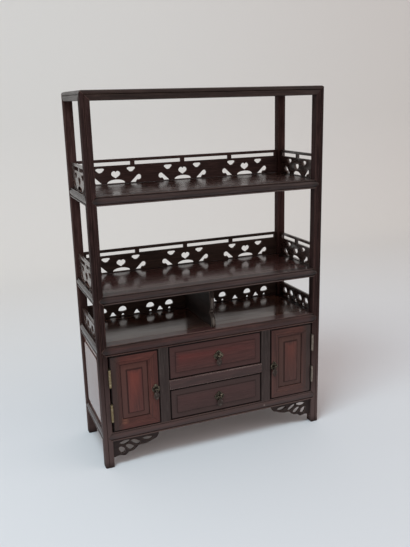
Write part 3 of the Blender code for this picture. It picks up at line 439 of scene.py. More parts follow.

# %% [markdown]
# One board is not like the next: the legs and rails are the darkest, the shelves carry the highest
# polish, the pierced boards are dull and nearly black, the doors are the reddest and the lower drawer
# is browner than the upper one. The back legs are lighter than the front ones, which is painted light.
# Insides were never lacquered. Each row below is one such wood: deep, body and light are its tones,
# edge_wear_and_highlight the tone of its paler edges, partly wear and partly painted highlight, and tip
# that of a rail's ends on the legs. Framed fields have a heart, which may lean to one side, a border,
# and painted_shade_bands: from and to in millimetres outside the field, and how dark. rough and shine
# describe the lacquer, coat a second layer of it, relief the open grain and polish the hair lines that
# replace it. floor_reflection is a grey low down that paints the pale floor's reflection,
# pale_edge_amount makes edges paler, and scuffs are worn spots with place, radius and tone.

# %% Woods
WOODS = {
    "frame": {"deep": "#1b1110", "body": "#30211f", "light": "#463230", "edge_wear_and_highlight": "#6a4f47",
              "rough": (0.50, 0.65), "shine": 0.07, "floor_reflection": 0.75},
    "top": {"deep": "#1a110f", "body": "#2b1e1b", "light": "#3c2d28", "edge_wear_and_highlight": "#6a5548",
            "tip": "#241614", "rough": (0.34, 0.46), "shine": 0.10, "coat": 0.28, "relief": 0.15},
    # Painted light: the back legs are made lighter than the front legs.
    "lightened_back_leg": {"deep": "#281a18", "body": "#402c29", "light": "#563f3b", "edge_wear_and_highlight": "#6a4f47",
                 "rough": (0.50, 0.65), "shine": 0.05, "floor_reflection": 0.50},
    "muntin": {"deep": "#2a2321", "body": "#39302e", "light": "#4b423f", "edge_wear_and_highlight": "#6b5c55",
               "rough": (0.34, 0.46), "shine": 0.12, "floor_reflection": 0.20},
    "rail": {"deep": "#261b19", "body": "#382826", "light": "#4a3936", "edge_wear_and_highlight": "#745f56",
             "tip": "#1e1412", "rough": (0.30, 0.42), "shine": 0.15, "coat": 0.40, "relief": 0.15},
    "cabinet": {"deep": "#2b1a17", "body": "#3d2523", "light": "#4d312d", "edge_wear_and_highlight": "#84675a",
                "tip": "#221513", "scuffs": [((0.1047, -0.0850, 0.0637), 2.5 * MM, "#b9aaa0")],
                "rough": (0.30, 0.42), "shine": 0.15, "coat": 0.35, "relief": 0.15, "floor_reflection": 0.35},
    "door": {"deep": "#412825", "body": "#59332e", "light": "#6c4037", "edge_wear_and_highlight": "#85594a",
             "painted_shade_bands": [(-2.0, 5.0, 0.92)], "scuffs": [((-0.1905, -0.0842, 0.0921), 9 * MM, "#8f6350")],
             "rough": (0.30, 0.42), "shine": 0.10, "floor_reflection": 0.18},
    "shelf": {"deep": "#32221f", "body": "#45312d", "light": "#56403a", "edge_wear_and_highlight": "#664c43",
              "polish": 0.10, "rough": (0.19, 0.30), "shine": 0.50},
    "middle_shelf": {"deep": "#34211f", "body": "#472f2c", "light": "#583e39", "edge_wear_and_highlight": "#664c43",
                     "polish": 0.07, "rough": (0.12, 0.23), "shine": 0.50},
    "low_shelf": {"deep": "#331f18", "body": "#462d24", "light": "#563c32", "edge_wear_and_highlight": "#664c43",
                  "polish": 0.05, "rough": (0.09, 0.24), "shine": 0.45},
    "upper_gallery": {"deep": "#342726", "body": "#4b3936", "light": "#614a46", "edge_wear_and_highlight": "#6a5044",
                      "rough": (0.45, 0.60), "shine": 0.12},
    "gallery": {"deep": "#251d1a", "body": "#382b26", "light": "#483932", "edge_wear_and_highlight": "#6a5044",
                "rough": (0.45, 0.60), "shine": 0.12},
    "side_gallery": {"deep": "#241a17", "body": "#372823", "light": "#47362f", "edge_wear_and_highlight": "#8a786c",
                     "rough": (0.22, 0.34), "shine": 0.50, "coat": 0.50, "relief": 0.08},
    "carving": {"deep": "#2e1d19", "body": "#432c26", "light": "#553a32", "edge_wear_and_highlight": "#7d5d50",
                "rough": (0.40, 0.55), "shine": 0.20},
    "divider": {"deep": "#1f1b1a", "body": "#2b2422", "light": "#3a2f2a", "edge_wear_and_highlight": "#9c8c7e",
                "rough": (0.45, 0.55), "shine": 0.12, "relief": 0.06},
    "bracket": {"deep": "#1f1817", "body": "#2c2422", "light": "#3a312e", "edge_wear_and_highlight": "#6a5b54",
                "rough": (0.45, 0.60), "shine": 0.12, "floor_reflection": 0.10},
    "side": {"deep": "#552f27", "body": "#6b3f32", "light": "#7c4e3e", "edge_wear_and_highlight": "#8a5f4c",
             "rough": (0.12, 0.20), "shine": 0.50, "coat": 0.44, "relief": 0.06, "floor_reflection": 0.20},
    "panel": {"deep": "#4b2c29", "body": "#60342f", "light": "#703f37", "edge_wear_and_highlight": "#875642",
              "border": "#563832", "heart": "#773c33", "painted_shade_bands": [(-0.2, 2.4, 0.55), (11.4, 20.0, 0.70)],
              "rough": (0.26, 0.38), "shine": 0.10, "relief": 0.15, "floor_reflection": 0.35},
    "right_door": {"deep": "#3d2926", "body": "#52342f", "light": "#644239", "edge_wear_and_highlight": "#85594a",
                   "painted_shade_bands": [(-2.0, 5.0, 0.92)], "rough": (0.30, 0.42), "shine": 0.10, "floor_reflection": 0.38},
    "right_panel": {"deep": "#412c29", "body": "#53342f", "light": "#623f37", "edge_wear_and_highlight": "#875642",
                    "border": "#4f3832", "heart": "#663b33", "painted_shade_bands": [(-0.2, 2.4, 0.55), (11.4, 20.0, 0.70)],
                    "rough": (0.26, 0.38), "shine": 0.10, "relief": 0.15, "floor_reflection": 0.35},
    "drawer_upper": {"deep": "#422b29", "body": "#4f302e", "light": "#5b3935", "edge_wear_and_highlight": "#7a4a3c",
                     "border": "#47312f", "heart": "#632f2c", "painted_shade_bands": [(0.2, 1.6, 0.40), (11.8, 20.0, 0.95)],
                     "rough": (0.26, 0.38), "shine": 0.10, "relief": 0.15, "floor_reflection": 0.35, "lean": 0.1},
    "drawer_lower": {"deep": "#3d2c2b", "body": "#473331", "light": "#523b39", "edge_wear_and_highlight": "#74493c",
                     "border": "#3f3230", "heart": "#4d3332", "painted_shade_bands": [(0.2, 1.6, 0.40), (11.8, 20.0, 0.95)],
                     "rough": (0.26, 0.38), "shine": 0.10, "relief": 0.15, "floor_reflection": 0.25, "lean": 0.3},
    "drawer_rail": {"deep": "#2b1a17", "body": "#3d2523", "light": "#4d312d", "edge_wear_and_highlight": "#a5918a", "pale_edge_amount": 2.5,
                    "rough": (0.30, 0.42), "shine": 0.15, "coat": 0.35, "relief": 0.15, "floor_reflection": 0.35},
    "edging": {"deep": "#3a332e", "body": "#564d46", "light": "#6e655c", "edge_wear_and_highlight": "#9c9085",
               "rough": (0.28, 0.40), "shine": 0.40, "relief": 0.15},
    "back": {"deep": "#281a15", "body": "#3d2a22", "light": "#523b2f", "edge_wear_and_highlight": "#6b5040",
             "rough": (0.50, 0.66), "shine": 0.30, "relief": 0.30, "floor_reflection": 0.20},
    "inside": {"deep": "#4a2f1f", "body": "#75523a", "light": "#97744f", "edge_wear_and_highlight": "#a98a63",
               "rough": (0.55, 0.72), "shine": 0.35, "relief": 0.30},
}
print(len(WOODS), "woods")

# %% [markdown]
# The woods go on by name. One material serves all pieces that share a wood and a grain direction, and
# only the doors and drawer fronts need to know where their field lies.

# %% Wood of each solid
DOOR_FIELD_IN = 16.6 * MM
DRAWER_FIELD_IN = 13.8 * MM
WOOD_BY_START = {
    "door_frame_left": "door", "door_panel_left": "panel",
    "door_frame_right": "right_door", "door_panel_right": "right_panel",
    "drawer_front_upper": "drawer_upper", "drawer_front_lower": "drawer_lower",
    "drawer_rail": "drawer_rail", "muntin": "muntin", "side_panel": "side", "back_panel": "back",
    "drawer_box": "inside", "partition": "inside", "cabinet_floor": "inside",
    "gallery_upper": "upper_gallery", "gallery": "gallery", "lower_divider": "divider",
    "corner_bracket": "bracket", "leg_back": "lightened_back_leg", "top_frame": "top",
    "upper_shelf_frame": "rail", "middle_shelf_frame": "rail",
    "cabinet_top_frame": "cabinet", "base_frame": "cabinet",
    "middle_shelf_panel": "middle_shelf", "cabinet_top_panel": "low_shelf",
}


def wood_of(name):
    """Which wood a solid is made of."""
    if name.startswith("gallery") and not name.endswith("back"):
        return "side_gallery"
    for start, wood in WOOD_BY_START.items():
        if name.startswith(start):
            return wood
    return "shelf" if name.endswith("_panel") else "frame"


def field_of(name):
    """Middle and half size of a raised field, for the pieces that have one."""
    insets = {"door_panel": DOOR_FIELD_IN, "drawer_front": DRAWER_FIELD_IN, "door_frame": 0.0}
    inset = insets.get(name.rsplit("_", 1)[0])
    if inset is None:
        return None
    centre, half = middle_and_half(name, 0, 2)
    return centre, [extent - inset for extent in half]


slots = {entry["node"]: entry["material_slot"] for entry in frame["record"]["subparts"]}
woods = {}
for name, solid in solids.items():
    if slots[name].endswith("_wood"):
        wood, run = wood_of(name), run_of(name)
        if (wood, run) not in woods:
            woods[wood, run] = rosewood(f"rosewood_{wood}_{run}", WOODS[wood], RUNS[run], field_of(name))
        solid.material_slots[0].material = woods[wood, run]
carvings = {}
for run in ("across", "deep"):
    carvings[run] = rosewood(f"rosewood_carving_{run}", WOODS["carving"], RUNS[run])
carvings["edging"] = rosewood("rosewood_edging", WOODS["edging"], RUNS["up"])
print(f"{len(woods)} wood finishes on the solids, {len(carvings)} for carving")

# %% [markdown]
# ## Aged brass
# Hinges and pulls are cast and filed brass that has darkened for decades. Brass goes brown-green in
# the hollows and stays yellow where fingers touch it. A mix of two metal colours by a blotchy noise
# gives that, with the rubbed edges bright again and the hollows nearly black. It stays fully
# metallic: tarnish this thin still reflects like metal, only duller. The grain of the casting is
# about 0.3 mm and is drawn at 0.8 mm to show.

# %% Brass
BLOTCH_WIDTH = 5 * MM
CAST_GRAIN = 0.8 * MM
CAST_DEPTH = 0.1 * MM
CAST_STRENGTH = 0.3
BRASS_EDGE = 0.4 * MM
BRASS_HOLLOW = 1.5 * MM
CLEAN_MASK = {1: 0.50, 2: 0.72, 4: 0.7}
TARNISH = "#17140d"
TARNISH_AMOUNT = 0.85
BRASSES = {
    "hinge_brass": {"bright": "#bfb193", "dull": "#86785c", "rough": (0.34, 0.52)},
    "grey_brass": {"bright": "#b3aa9e", "dull": "#80766c", "rough": (0.36, 0.54)},
    "pull_brass": {"bright": "#a79c86", "dull": "#3a352f", "rough": (0.30, 0.50)},
    "leaf_brass": {"bright": "#766c66", "dull": "#453c38", "rough": (0.34, 0.50)},
}


def aged_brass(name, brass):
    """Metal with tarnish blotches, cast grain, bright edges and dark hollows."""
    material = bpy.data.materials.new(name)
    material.use_nodes = True
    tree = material.node_tree
    shader = tree.nodes["Principled BSDF"]
    place = add(tree, "ShaderNodeTexCoord").outputs["Object"]
    blotch = add(tree, NOISE, {"Vector": place, "Scale": 1 / BLOTCH_WIDTH, "Detail": 3})
    grain = add(tree, NOISE, {"Vector": place, "Scale": 1 / CAST_GRAIN, "Detail": 2})
    edge, hollow = edges_and_hollows(tree, BRASS_EDGE, BRASS_HOLLOW)
    clean = add(tree, RANGE, {0: blotch, **CLEAN_MASK})
    bright = add(tree, MATH, {0: edge, 1: clean}, operation="MAXIMUM")
    tones = {0: bright, 6: linear(brass["dull"]), 7: linear(brass["bright"])}
    colour = add(tree, MIX, tones, data_type="RGBA").outputs[2]
    shade = add(tree, MATH, {0: hollow, 1: TARNISH_AMOUNT}, operation="MULTIPLY")
    colour = add(tree, MIX, {0: shade, 6: colour, 7: linear(TARNISH)}, data_type="RGBA").outputs[2]
    tree.links.new(colour, shader.inputs["Base Color"])
    low, high = brass["rough"]
    rough = add(tree, RANGE, {0: bright, 3: high, 4: low})
    tree.links.new(rough.outputs[0], shader.inputs["Roughness"])
    cast = {"Height": grain, "Strength": CAST_STRENGTH, "Distance": CAST_DEPTH}
    bump = add(tree, "ShaderNodeBump", cast)
    tree.links.new(bump.outputs[0], shader.inputs["Normal"])
    shader.inputs["Metallic"].default_value = 1.0
    return material


brasses = {slot: aged_brass(f"aged_{slot}", brass) for slot, brass in BRASSES.items()}
for name, solid in solids.items():
    if slots[name] in brasses:
        # The right door's hinges are greyer.
        grey_hinge = name.startswith("hinge") and "right" in name
        solid.material_slots[0].material = brasses["grey_brass" if grey_hinge else slots[name]]
print("brass on", sum(slot in brasses for slot in slots.values()), "solids")

# %% [markdown]
# ## Eased edges
# No arris on the real shelf is razor sharp: each was eased with a scraper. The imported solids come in
# as loose triangles, so a small geometry node group first welds them, a planar decimate joins flat
# triangles back into whole faces, and a bevel then eases only the real edges. A second node group and
# weighted normals keep flat faces flat and round mouldings smooth. Legs and mitred frames have their
# rounding in the construction model and skip the bevel. Modifiers leave the solid's own mesh as it
# came.

# %% Weld, bevel and smooth
WELD = 0.01 * MM
SHARP_ANGLE = math.radians(38)
WOOD_EASE = 0.35 * MM
BRASS_EASE = 0.15 * MM
EASE_SEGMENTS = 2
EASE_ANGLE = math.radians(50)
FLAT_ANGLE = math.radians(0.5)
SMOOTH = "GeometryNodeSetShadeSmooth"


def mesh_group(name):
    """Empty geometry node group with one mesh in and one out."""
    group = bpy.data.node_groups.new(name, "GeometryNodeTree")
    for way in ("INPUT", "OUTPUT"):
        group.interface.new_socket("Geometry", in_out=way, socket_type="NodeSocketGeometry")
    return group


weld_group = mesh_group("weld_triangles")
loose = add(weld_group, "NodeGroupInput")
whole = add(weld_group, "GeometryNodeMergeByDistance", {0: loose, "Distance": WELD})
plain = add(weld_group, "GeometryNodeRemoveAttribute", {0: whole, "Name": "custom_normal"})
joined = add(weld_group, SMOOTH, {0: plain, "Shade Smooth": True}, domain="EDGE")
add(weld_group, "NodeGroupOutput", {0: joined})

smooth_group = mesh_group("smooth_by_angle")
eased = add(smooth_group, "NodeGroupInput")
smooth = add(smooth_group, SMOOTH, {0: eased, "Shade Smooth": True}, domain="FACE")
clear = add(smooth_group, SMOOTH, {0: smooth, "Shade Smooth": True}, domain="EDGE")
fold = add(smooth_group, "GeometryNodeInputMeshEdgeAngle")
hard = add(smooth_group, "FunctionNodeCompare", {0: fold, 1: SHARP_ANGLE}, operation="GREATER_THAN")
kept = add(smooth_group, SMOOTH, {0: clear, "Selection": hard, "Shade Smooth": False}, domain="EDGE")
add(smooth_group, "NodeGroupOutput", {0: kept})


def ease_edges(solid, width):
    """Stack the modifiers that turn loose triangles into an eased, smooth-shaded solid."""
    solid.modifiers.new("weld", "NODES").node_group = weld_group
    if width:
        join = solid.modifiers.new("join_flats", "DECIMATE")
        join.decimate_type = "DISSOLVE"
        join.angle_limit = FLAT_ANGLE
        bevel = solid.modifiers.new("ease", "BEVEL")
        bevel.width = width
        bevel.segments = EASE_SEGMENTS
        bevel.limit_method = "ANGLE"
        bevel.angle_limit = EASE_ANGLE
        bevel.use_clamp_overlap = True
    solid.modifiers.new("smooth", "NODES").node_group = smooth_group
    solid.modifiers.new("normals", "WEIGHTED_NORMAL").keep_sharp = True


for name, solid in solids.items():
    shaped = name.startswith("leg_") or run_of(name) == "plan_mitre"
    ease = BRASS_EASE if slots[name] in brasses else WOOD_EASE
    ease_edges(solid, 0.0 if shaped else ease)
print(f"eased {len(solids)} solids")

# %% [markdown]
# ## Making small pieces
# The fittings below are all swept or turned: a ring of points is carried along a path or round an
# axis and the rings are skinned. A spin operator or a bevelled curve would do the same, but one
# skinning function keeps every piece a closed mesh with even faces.

# %% Piece makers
def piece(name, shape, body, finish):
    """Turn a bmesh into a smooth object that rides on a body."""
    bmesh.ops.recalc_face_normals(shape, faces=shape.faces)
    mesh = bpy.data.meshes.new(name)
    shape.to_mesh(mesh)
    shape.free()
    mesh.shade_smooth()
    mesh.set_sharp_from_angle(angle=SHARP_ANGLE)
    mesh.materials.append(finish)
    made = bpy.data.objects.new(name, mesh)
    bpy.context.scene.collection.objects.link(made)
    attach(made, body)
    return made


def skin(shape, rings, closed=False):
    """Join rings of points with faces; an open skin gets a cap at each end."""
    loops = [[shape.verts.new(point) for point in ring] for ring in rings]
    pairs = list(zip(loops, loops[1:]))
    if closed:
        pairs.append((loops[-1], loops[0]))
    else:
        shape.faces.new(loops[0])
        shape.faces.new(loops[-1])
    for low, high in pairs:
        for i in range(len(low)):
            shape.faces.new((low[i - 1], low[i], high[i], high[i - 1]))


def turns(count):
    """Angles of a full turn in equal steps."""
    return [2 * math.pi * i / count for i in range(count)]


def tube(shape, path, radii, normal, closed, sides=6):
    """Round bar along a path that lies in the plane of the given normal."""
    rings = []
    last = len(path) - 1
    for i, (point, radius) in enumerate(zip(path, radii)):
        before = path[i - 1] if closed else path[max(i - 1, 0)]
        after = path[(i + 1) % len(path)] if closed else path[min(i + 1, last)]
        side = (after - before).normalized().cross(normal)
        rings.append([point + radius * (math.cos(t) * side + math.sin(t) * normal) for t in turns(sides)])
    skin(shape, rings, closed)


def turned(shape, foot, axis, profile, steps=20):
    """Turn a profile of (radius, height) round an axis that starts at foot."""
    first = axis.orthogonal().normalized()
    second = axis.cross(first)
    rings = []
    for radius, height in profile:
        centre = foot + axis * height
        rings.append([centre + radius * (math.cos(t) * first + math.sin(t) * second) for t in turns(steps)])
    skin(shape, rings)


print("piece makers ready")

# %% [markdown]
# ## Carved rims round the openings
# A carver who has sawn a heart or a cloud through a thin board runs a fine bead round it, so that the
# pierced board looks less like fretwork. The openings' edges are read from the solid itself: on one
# face of the board, an edge with a single flat neighbour belongs to an outline. The longest outline is
# the board's own, and the four-cornered ones are the plain slots.

# %% Carved rims
RIM_RADIUS = 0.32 * MM
BRACKET_RIM = 0.60 * MM
RIM_CLEAR = 0.13 * MM
PLANE_TOLERANCE = 0.02 * MM
SLOT_CORNERS = 4


def face_outlines(name, axis, at):
    """Closed outlines on one flat face of a solid, each a list of points."""
    shape = bmesh.new()
    shape.from_mesh(solids[name].data)
    bmesh.ops.remove_doubles(shape, verts=shape.verts, dist=WELD)
    flat = {f for f in shape.faces if all(abs(v.co[axis] - at) < PLANE_TOLERANCE for v in f.verts)}
    rim = [edge for edge in shape.edges if sum(face in flat for face in edge.link_faces) == 1]
    nexts = {}
    for edge in rim:
        first, second = edge.verts
        nexts.setdefault(first, []).append(second)
        nexts.setdefault(second, []).append(first)
    outlines = []
    while nexts:
        start, options = nexts.popitem()
        outline, here = [start], options[0]
        while here is not start:
            outline.append(here)
            options = nexts.pop(here)
            here = options[0] if options[0] is not outline[-2] else options[1]
        outlines.append([vertex.co.copy() for vertex in outline])
    shape.free()
    return outlines


def grown(outline, normal, distance):
    """Outline moved outwards in its own plane."""
    count = len(outline)
    area = sum((outline[i - 1].cross(outline[i])).dot(normal) for i in range(count))
    way = 1 if area > 0 else -1
    moved = []
    for i, point in enumerate(outline):
        sides = [(point - outline[i - 1]).normalized(), (outline[(i + 1) % count] - point).normalized()]
        out = sum((side.cross(normal) for side in sides), Vector()).normalized() * way
        moved.append(point + out * distance)
    return moved


def perimeter(outline):
    """Length of a closed outline."""
    return sum((outline[i] - outline[i - 1]).length for i in range(len(outline)))


def carve_rims(name, axis, facing, radius, finish):
    """Fine beads round the shaped openings on the face of a board that looks along the axis."""
    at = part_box(name)[1 if facing > 0 else 0][axis]
    normal = Vector((0, 0, 0))
    normal[axis] = facing
    outlines = sorted(face_outlines(name, axis, at), key=perimeter)[:-1]
    shape = bmesh.new()
    for outline in outlines:
        if len(outline) > SLOT_CORNERS:
            path = grown(outline, normal, radius + RIM_CLEAR)
            tube(shape, path, [radius] * len(path), normal, closed=True)
    side = "front" if facing < 0 else "back"
    return piece(f"carved_rims_{name}_{side}", shape, "frame", finish)


rims = []
for level in ("upper", "middle", "lower"):
    rims.append(carve_rims(f"gallery_{level}_back", 1, -1, RIM_RADIUS, carvings["across"]))
    for side in ("left", "right"):
        for facing in (-1, 1):
            rims.append(carve_rims(f"gallery_{level}_{side}", 0, facing, RIM_RADIUS, carvings["deep"]))
for side in ("left", "right"):
    rims.append(carve_rims(f"corner_bracket_{side}", 1, -1, BRACKET_RIM, woods["bracket", "across"]))
print(f"{len(rims)} carved pieces")

# %% [markdown]
# ## Bead along the low gallery
# The low gallery on the cabinet has no rail above it. A half-round bead, planed on a separate stick
# and glued just under the top edge, gives it a finished line. It is a thin round bar sunk to half its
# thickness in the board, with its ends drawn in. On the back board it stops either side of the divider.

# %% Gallery beads
BEAD_RADIUS = 0.9 * MM
BEAD_DOWN = 2.2 * MM
BEAD_END = 1.5 * MM
BEAD_TAPER = ((0.0, 0.35), (0.4, 0.8), (1.0, 1.0))
BEAD_SIDES = 10


def bead(name, start, end, normal, finish):
    """Half-sunk round bar with drawn-in ends."""
    along = (end - start).normalized()
    path = [start + along * BEAD_END * inward for inward, _ in BEAD_TAPER]
    path += [end - along * BEAD_END * inward for inward, _ in reversed(BEAD_TAPER)]
    swells = [swell for _, swell in BEAD_TAPER]
    radii = [BEAD_RADIUS * swell for swell in swells + swells[::-1]]
    shape = bmesh.new()
    tube(shape, path, radii, normal, closed=False, sides=BEAD_SIDES)
    return piece(name, shape, "frame", finish)


low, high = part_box("gallery_lower_back")
divider_low, divider_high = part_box("lower_divider")
height = high.z - BEAD_DOWN
spans = {"left": (low.x + MM, divider_low.x - MM), "right": (divider_high.x + MM, high.x - MM)}
for side, (first, last) in spans.items():
    ends = [Vector((x, low.y, height)) for x in (first, last)]
    bead(f"gallery_bead_back_{side}", *ends, Vector((0, -1, 0)), carvings["across"])
for side in ("left", "right"):
    low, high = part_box(f"gallery_lower_{side}")
    for face, x, way in (("west", low.x, -1), ("east", high.x, 1)):
        ends = [Vector((x, y, height)) for y in (low.y + MM, high.y - MM)]
        bead(f"gallery_bead_{side}_{face}", *ends, Vector((way, 0, 0)), carvings["deep"])
print("beads", BEAD_DOWN / MM, "mm under the edge")

# %% [markdown]
# ## Beads on the divider's front edge
# The shaped front of the divider carries raised beads: an oval at the foot, a small knob where the
# curve turns in, and a long oval above. They are paler than the board, partly as wear and partly as a
# painted highlight. They are lofted along the board's own front outline, with half ellipses for
# sections, and sunk to half their depth.

# %% Divider beads
# Each bead's foot and head, as shares of the divider's height.
BEADS = ((0.01, 0.25), (0.36, 0.42), (0.46, 0.76))
BEAD_HALF_WIDE = 2.7 * MM
BEAD_PROUD = 1.3 * MM
BEAD_RINGS = 12
BEAD_STEPS = 16
BEAD_TIP = 0.04
FRONT_STRIP = 0.1

low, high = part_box("lower_divider")
outline = max(face_outlines("lower_divider", 0, high.x), key=perimeter)
front = sorted((p for p in outline if p.y < low.y + FRONT_STRIP * (high.y - low.y)), key=lambda p: p.z)


def front_at(z):
    """Point on the middle of the divider's front edge at a height."""
    for below, above in zip(front, front[1:]):
        if below.z <= z <= above.z and above.z > below.z:
            y = below.y + (above.y - below.y) * (z - below.z) / (above.z - below.z)
            return Vector((0.0, y, z))
    return Vector((0.0, front[-1].y, z))


shape = bmesh.new()
for first, last in BEADS:
    rings = []
    for i in range(BEAD_RINGS + 1):
        along = BEAD_TIP + (1 - 2 * BEAD_TIP) * i / BEAD_RINGS
        share = 0.5 - 0.5 * math.cos(math.pi * along)
        swell = math.sqrt(1 - (2 * share - 1) ** 2)
        centre = front_at(low.z + (first + (last - first) * share) * (high.z - low.z))
        wide = BEAD_HALF_WIDE * swell
        proud = BEAD_PROUD * swell
        steps = turns(BEAD_STEPS)
        rings.append([centre + Vector((wide * math.cos(t), proud * math.sin(t), 0)) for t in steps])
    skin(shape, rings)
piece("divider_beads", shape, "frame", carvings["edging"])
print(len(BEADS), "beads on the divider,", len(front), "outline points")

# %% [markdown]
# ## Pull plates
# Each pull is a four-lobed plate with a turned-up rim, pinned by four round-headed nails, and a leaf
# that hangs from it. The plate in the frame is flat, so the rim is a fine bar along the plate's own
# outline formula and each nail is a turned dome.

# %% Plate rims and nails
PLATE_THICKNESS = 1.2 * MM
PLATE_WAIST = 0.20
RIM_SHARE = 0.92
PLATE_RIM = 0.5 * MM
RIM_STEPS = 40
NAIL_ACROSS = 0.68
NAIL_UP = 0.66
# Radius and height of a nail's head, in millimetres.
NAIL = [(1.5, -0.1), (1.5, 0.2), (1.2, 0.6), (0.7, 0.85), (0.2, 0.95)]
FRONT = Vector((0, -1, 0))
PULLS = ("left_door", "right_door", "upper_drawer", "lower_drawer")

for name in PULLS:
    low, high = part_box(f"pull_plate_{name}")
    centre = (low + high) / 2
    centre.y = high.y - PLATE_THICKNESS
    half_wide, half_tall = (high.x - low.x) / 2, (high.z - low.z) / 2
    shape = bmesh.new()
    path = []
    for t in turns(RIM_STEPS):
        waist = RIM_SHARE * (1 - PLATE_WAIST * math.sin(2 * t) ** 2)
        path.append(centre + waist * Vector((half_wide * math.cos(t), 0, half_tall * math.sin(t))))
    tube(shape, path, [PLATE_RIM] * len(path), FRONT, closed=True, sides=8)
    for across, up in ((NAIL_ACROSS, 0), (-NAIL_ACROSS, 0), (0, NAIL_UP), (0, -NAIL_UP)):
        foot = centre + Vector((across * half_wide, 0, up * half_tall))
        turned(shape, foot, FRONT, [(radius * MM, rise * MM) for radius, rise in NAIL], steps=12)
    piece(f"pull_trim_{name}", shape, name, brasses["pull_brass"])
print("rims and nails on", len(PULLS), "plates")

# %% [markdown]
# ## Hanging leaves
# The leaf is a small casting, domed to both sides with a ridge down the middle of its front. The flat
# leaf in the frame is replaced by one that is lofted along its length, which keeps the ridge exact,
# where a sculpted box would need many more faces. A turned eye holds it on the same pin.

# %% Hanging leaves
EYE_RADIUS = 2.2 * MM
# Half of the eye's section along the pin and away from it, in millimetres.
EYE_HALF = [(1.0, 2.2), (1.3, 1.9), (1.3, 1.5), (1.1, 1.15)]
EYE_SECTION = [(-x, r) for x, r in reversed(EYE_HALF)] + EYE_HALF
EYE_STEPS = 24
LEAF_NECK = 1.3 * MM
LEAF_START = 0.085
LEAF_SHOULDER = 0.12
LEAF_POINT = 0.12
LEAF_END = 0.995
LEAF_THICK = 1.0 * MM
LEAF_THIN = 0.25
LEAF_TAPER = 0.3
LEAF_BACK = 0.8
LEAF_STEPS = 20
RIDGE = 0.45
RIDGE_WIDTH = 0.22
STATIONS = 22

for name in PULLS:
    low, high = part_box(f"pull_drop_{name}")
    pin = (low + high) / 2
    pin.z = high.z - EYE_RADIUS
    length, half_wide = pin.z - low.z, (high.x - low.x) / 2
    shape = bmesh.new()
    rings = []
    for i in range(STATIONS + 1):
        share = LEAF_START + (LEAF_END - LEAF_START) * i / STATIONS
        down = (share - LEAF_SHOULDER) / (1 - LEAF_SHOULDER)
        swell = math.sin(math.pi * min(max(down, 0.0), 1.0))
        wide = max(half_wide * swell, LEAF_NECK * min(1.0, (1 - share) / LEAF_POINT))
        thick = LEAF_THICK * min(1.0, LEAF_THIN + (1 - share) / LEAF_TAPER) / (1 + RIDGE)
        ring = []
        for t in turns(LEAF_STEPS):
            ridge = LEAF_BACK
            if math.sin(t) > 0:
                ridge = 1 + RIDGE * math.exp(-(math.cos(t) / RIDGE_WIDTH) ** 2) * swell
            rise = -thick * math.sin(t) * ridge
            ring.append(pin + Vector((wide * math.cos(t), rise, -share * length)))
        rings.append(ring)
    skin(shape, rings)
    leaf = piece(f"pull_leaf_{name}", shape, f"{name}_pull", brasses["leaf_brass"])
    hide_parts(f"pull_drop_{name}")
    shape = bmesh.new()
    rings = []
    for t in turns(EYE_STEPS):
        out = Vector((0, math.cos(t), math.sin(t)))
        rings.append([pin + Vector((x * MM, 0, 0)) + r * MM * out for x, r in EYE_SECTION])
    skin(shape, rings, closed=True)
    piece(f"pull_eye_{name}", shape, f"{name}_pull", brasses["pull_brass"])
print("leaf length", round(length / MM, 1), "mm")

# %% [markdown]
# ## Hinge screws
# Butt hinges are held by countersunk screws with a straight slot. The heads lie flush, because the two
# leaves close to half a millimetre. Each head is two half discs with the slot left open between them,
# on a thin base disc.

# %% Slotted screws
SCREW_RADIUS = 1.7 * MM
SLOT_HALF = 0.28 * MM
SCREW_RISE = 0.10 * MM
BASE_SINK = 0.05 * MM
BASE_RISE = 0.03 * MM
HALF_SHARE = 0.96
SCREW_STEPS = 20
HALF_STEPS = 10
LEAF_GAP = 0.5 * MM
SCREW_STEP = 11.5 * MM
SCREW_IN = 5.0 * MM
SCREW_STAGGER = 1.6 * MM


def slotted_screw(shape, centre, way):
    """Flush head facing along X: base disc and two raised half discs."""
    def laid(outline, low, high):
        skin(shape, [[centre + Vector((way * rise, u, v)) for u, v in outline] for rise in (low, high)])

    def arc(radius, angles):
        return [(radius * math.cos(t), radius * math.sin(t)) for t in angles]
    laid(arc(SCREW_RADIUS, turns(SCREW_STEPS)), -BASE_SINK, BASE_RISE)
    edge = math.asin(SLOT_HALF / SCREW_RADIUS)
    sweep = [edge + (math.pi - 2 * edge) * i / HALF_STEPS for i in range(HALF_STEPS + 1)]
    for flip in (1, -1):
        half = arc(HALF_SHARE * SCREW_RADIUS, [flip * t for t in sweep])
        laid(half, BASE_RISE, SCREW_RISE)


for name in [n for n in solids if n.startswith("hinge_")]:
    low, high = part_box(name)
    side = -1 if high.x < 0 else 1
    fixed = name.startswith("hinge_leaf")
    way = -side if fixed else side
    face = (low.x + high.x) / 2 - way * LEAF_GAP / 2
    shape = bmesh.new()
    for step in (-1, 0, 1):
        y = high.y - SCREW_IN + (SCREW_STAGGER if step else -SCREW_STAGGER)
        slotted_screw(shape, Vector((face, y, (low.z + high.z) / 2 + step * SCREW_STEP)), way)
    body = "frame" if fixed else ("left_door" if side < 0 else "right_door")
    piece(f"screws_{name}", shape, body, brasses["hinge_brass" if side < 0 else "grey_brass"])
print("three screws in each leaf")

# %% [markdown]
# ## Dovetails on the drawers
# The drawer sides meet the fronts in dovetails, which show when a drawer is pulled out. End grain
# drinks more finish and goes darker, so the tails read as dark wedges. They are thin inlays on the
# sides, a tenth of a millimetre proud, well inside the drawer's running gap.

# %% Dovetails
TAIL_LENGTH = 7.0 * MM
TAIL_COUNT = 3
TAIL_ROOT = 0.34
TAIL_END = 0.22
TAIL_RISE = 0.12 * MM

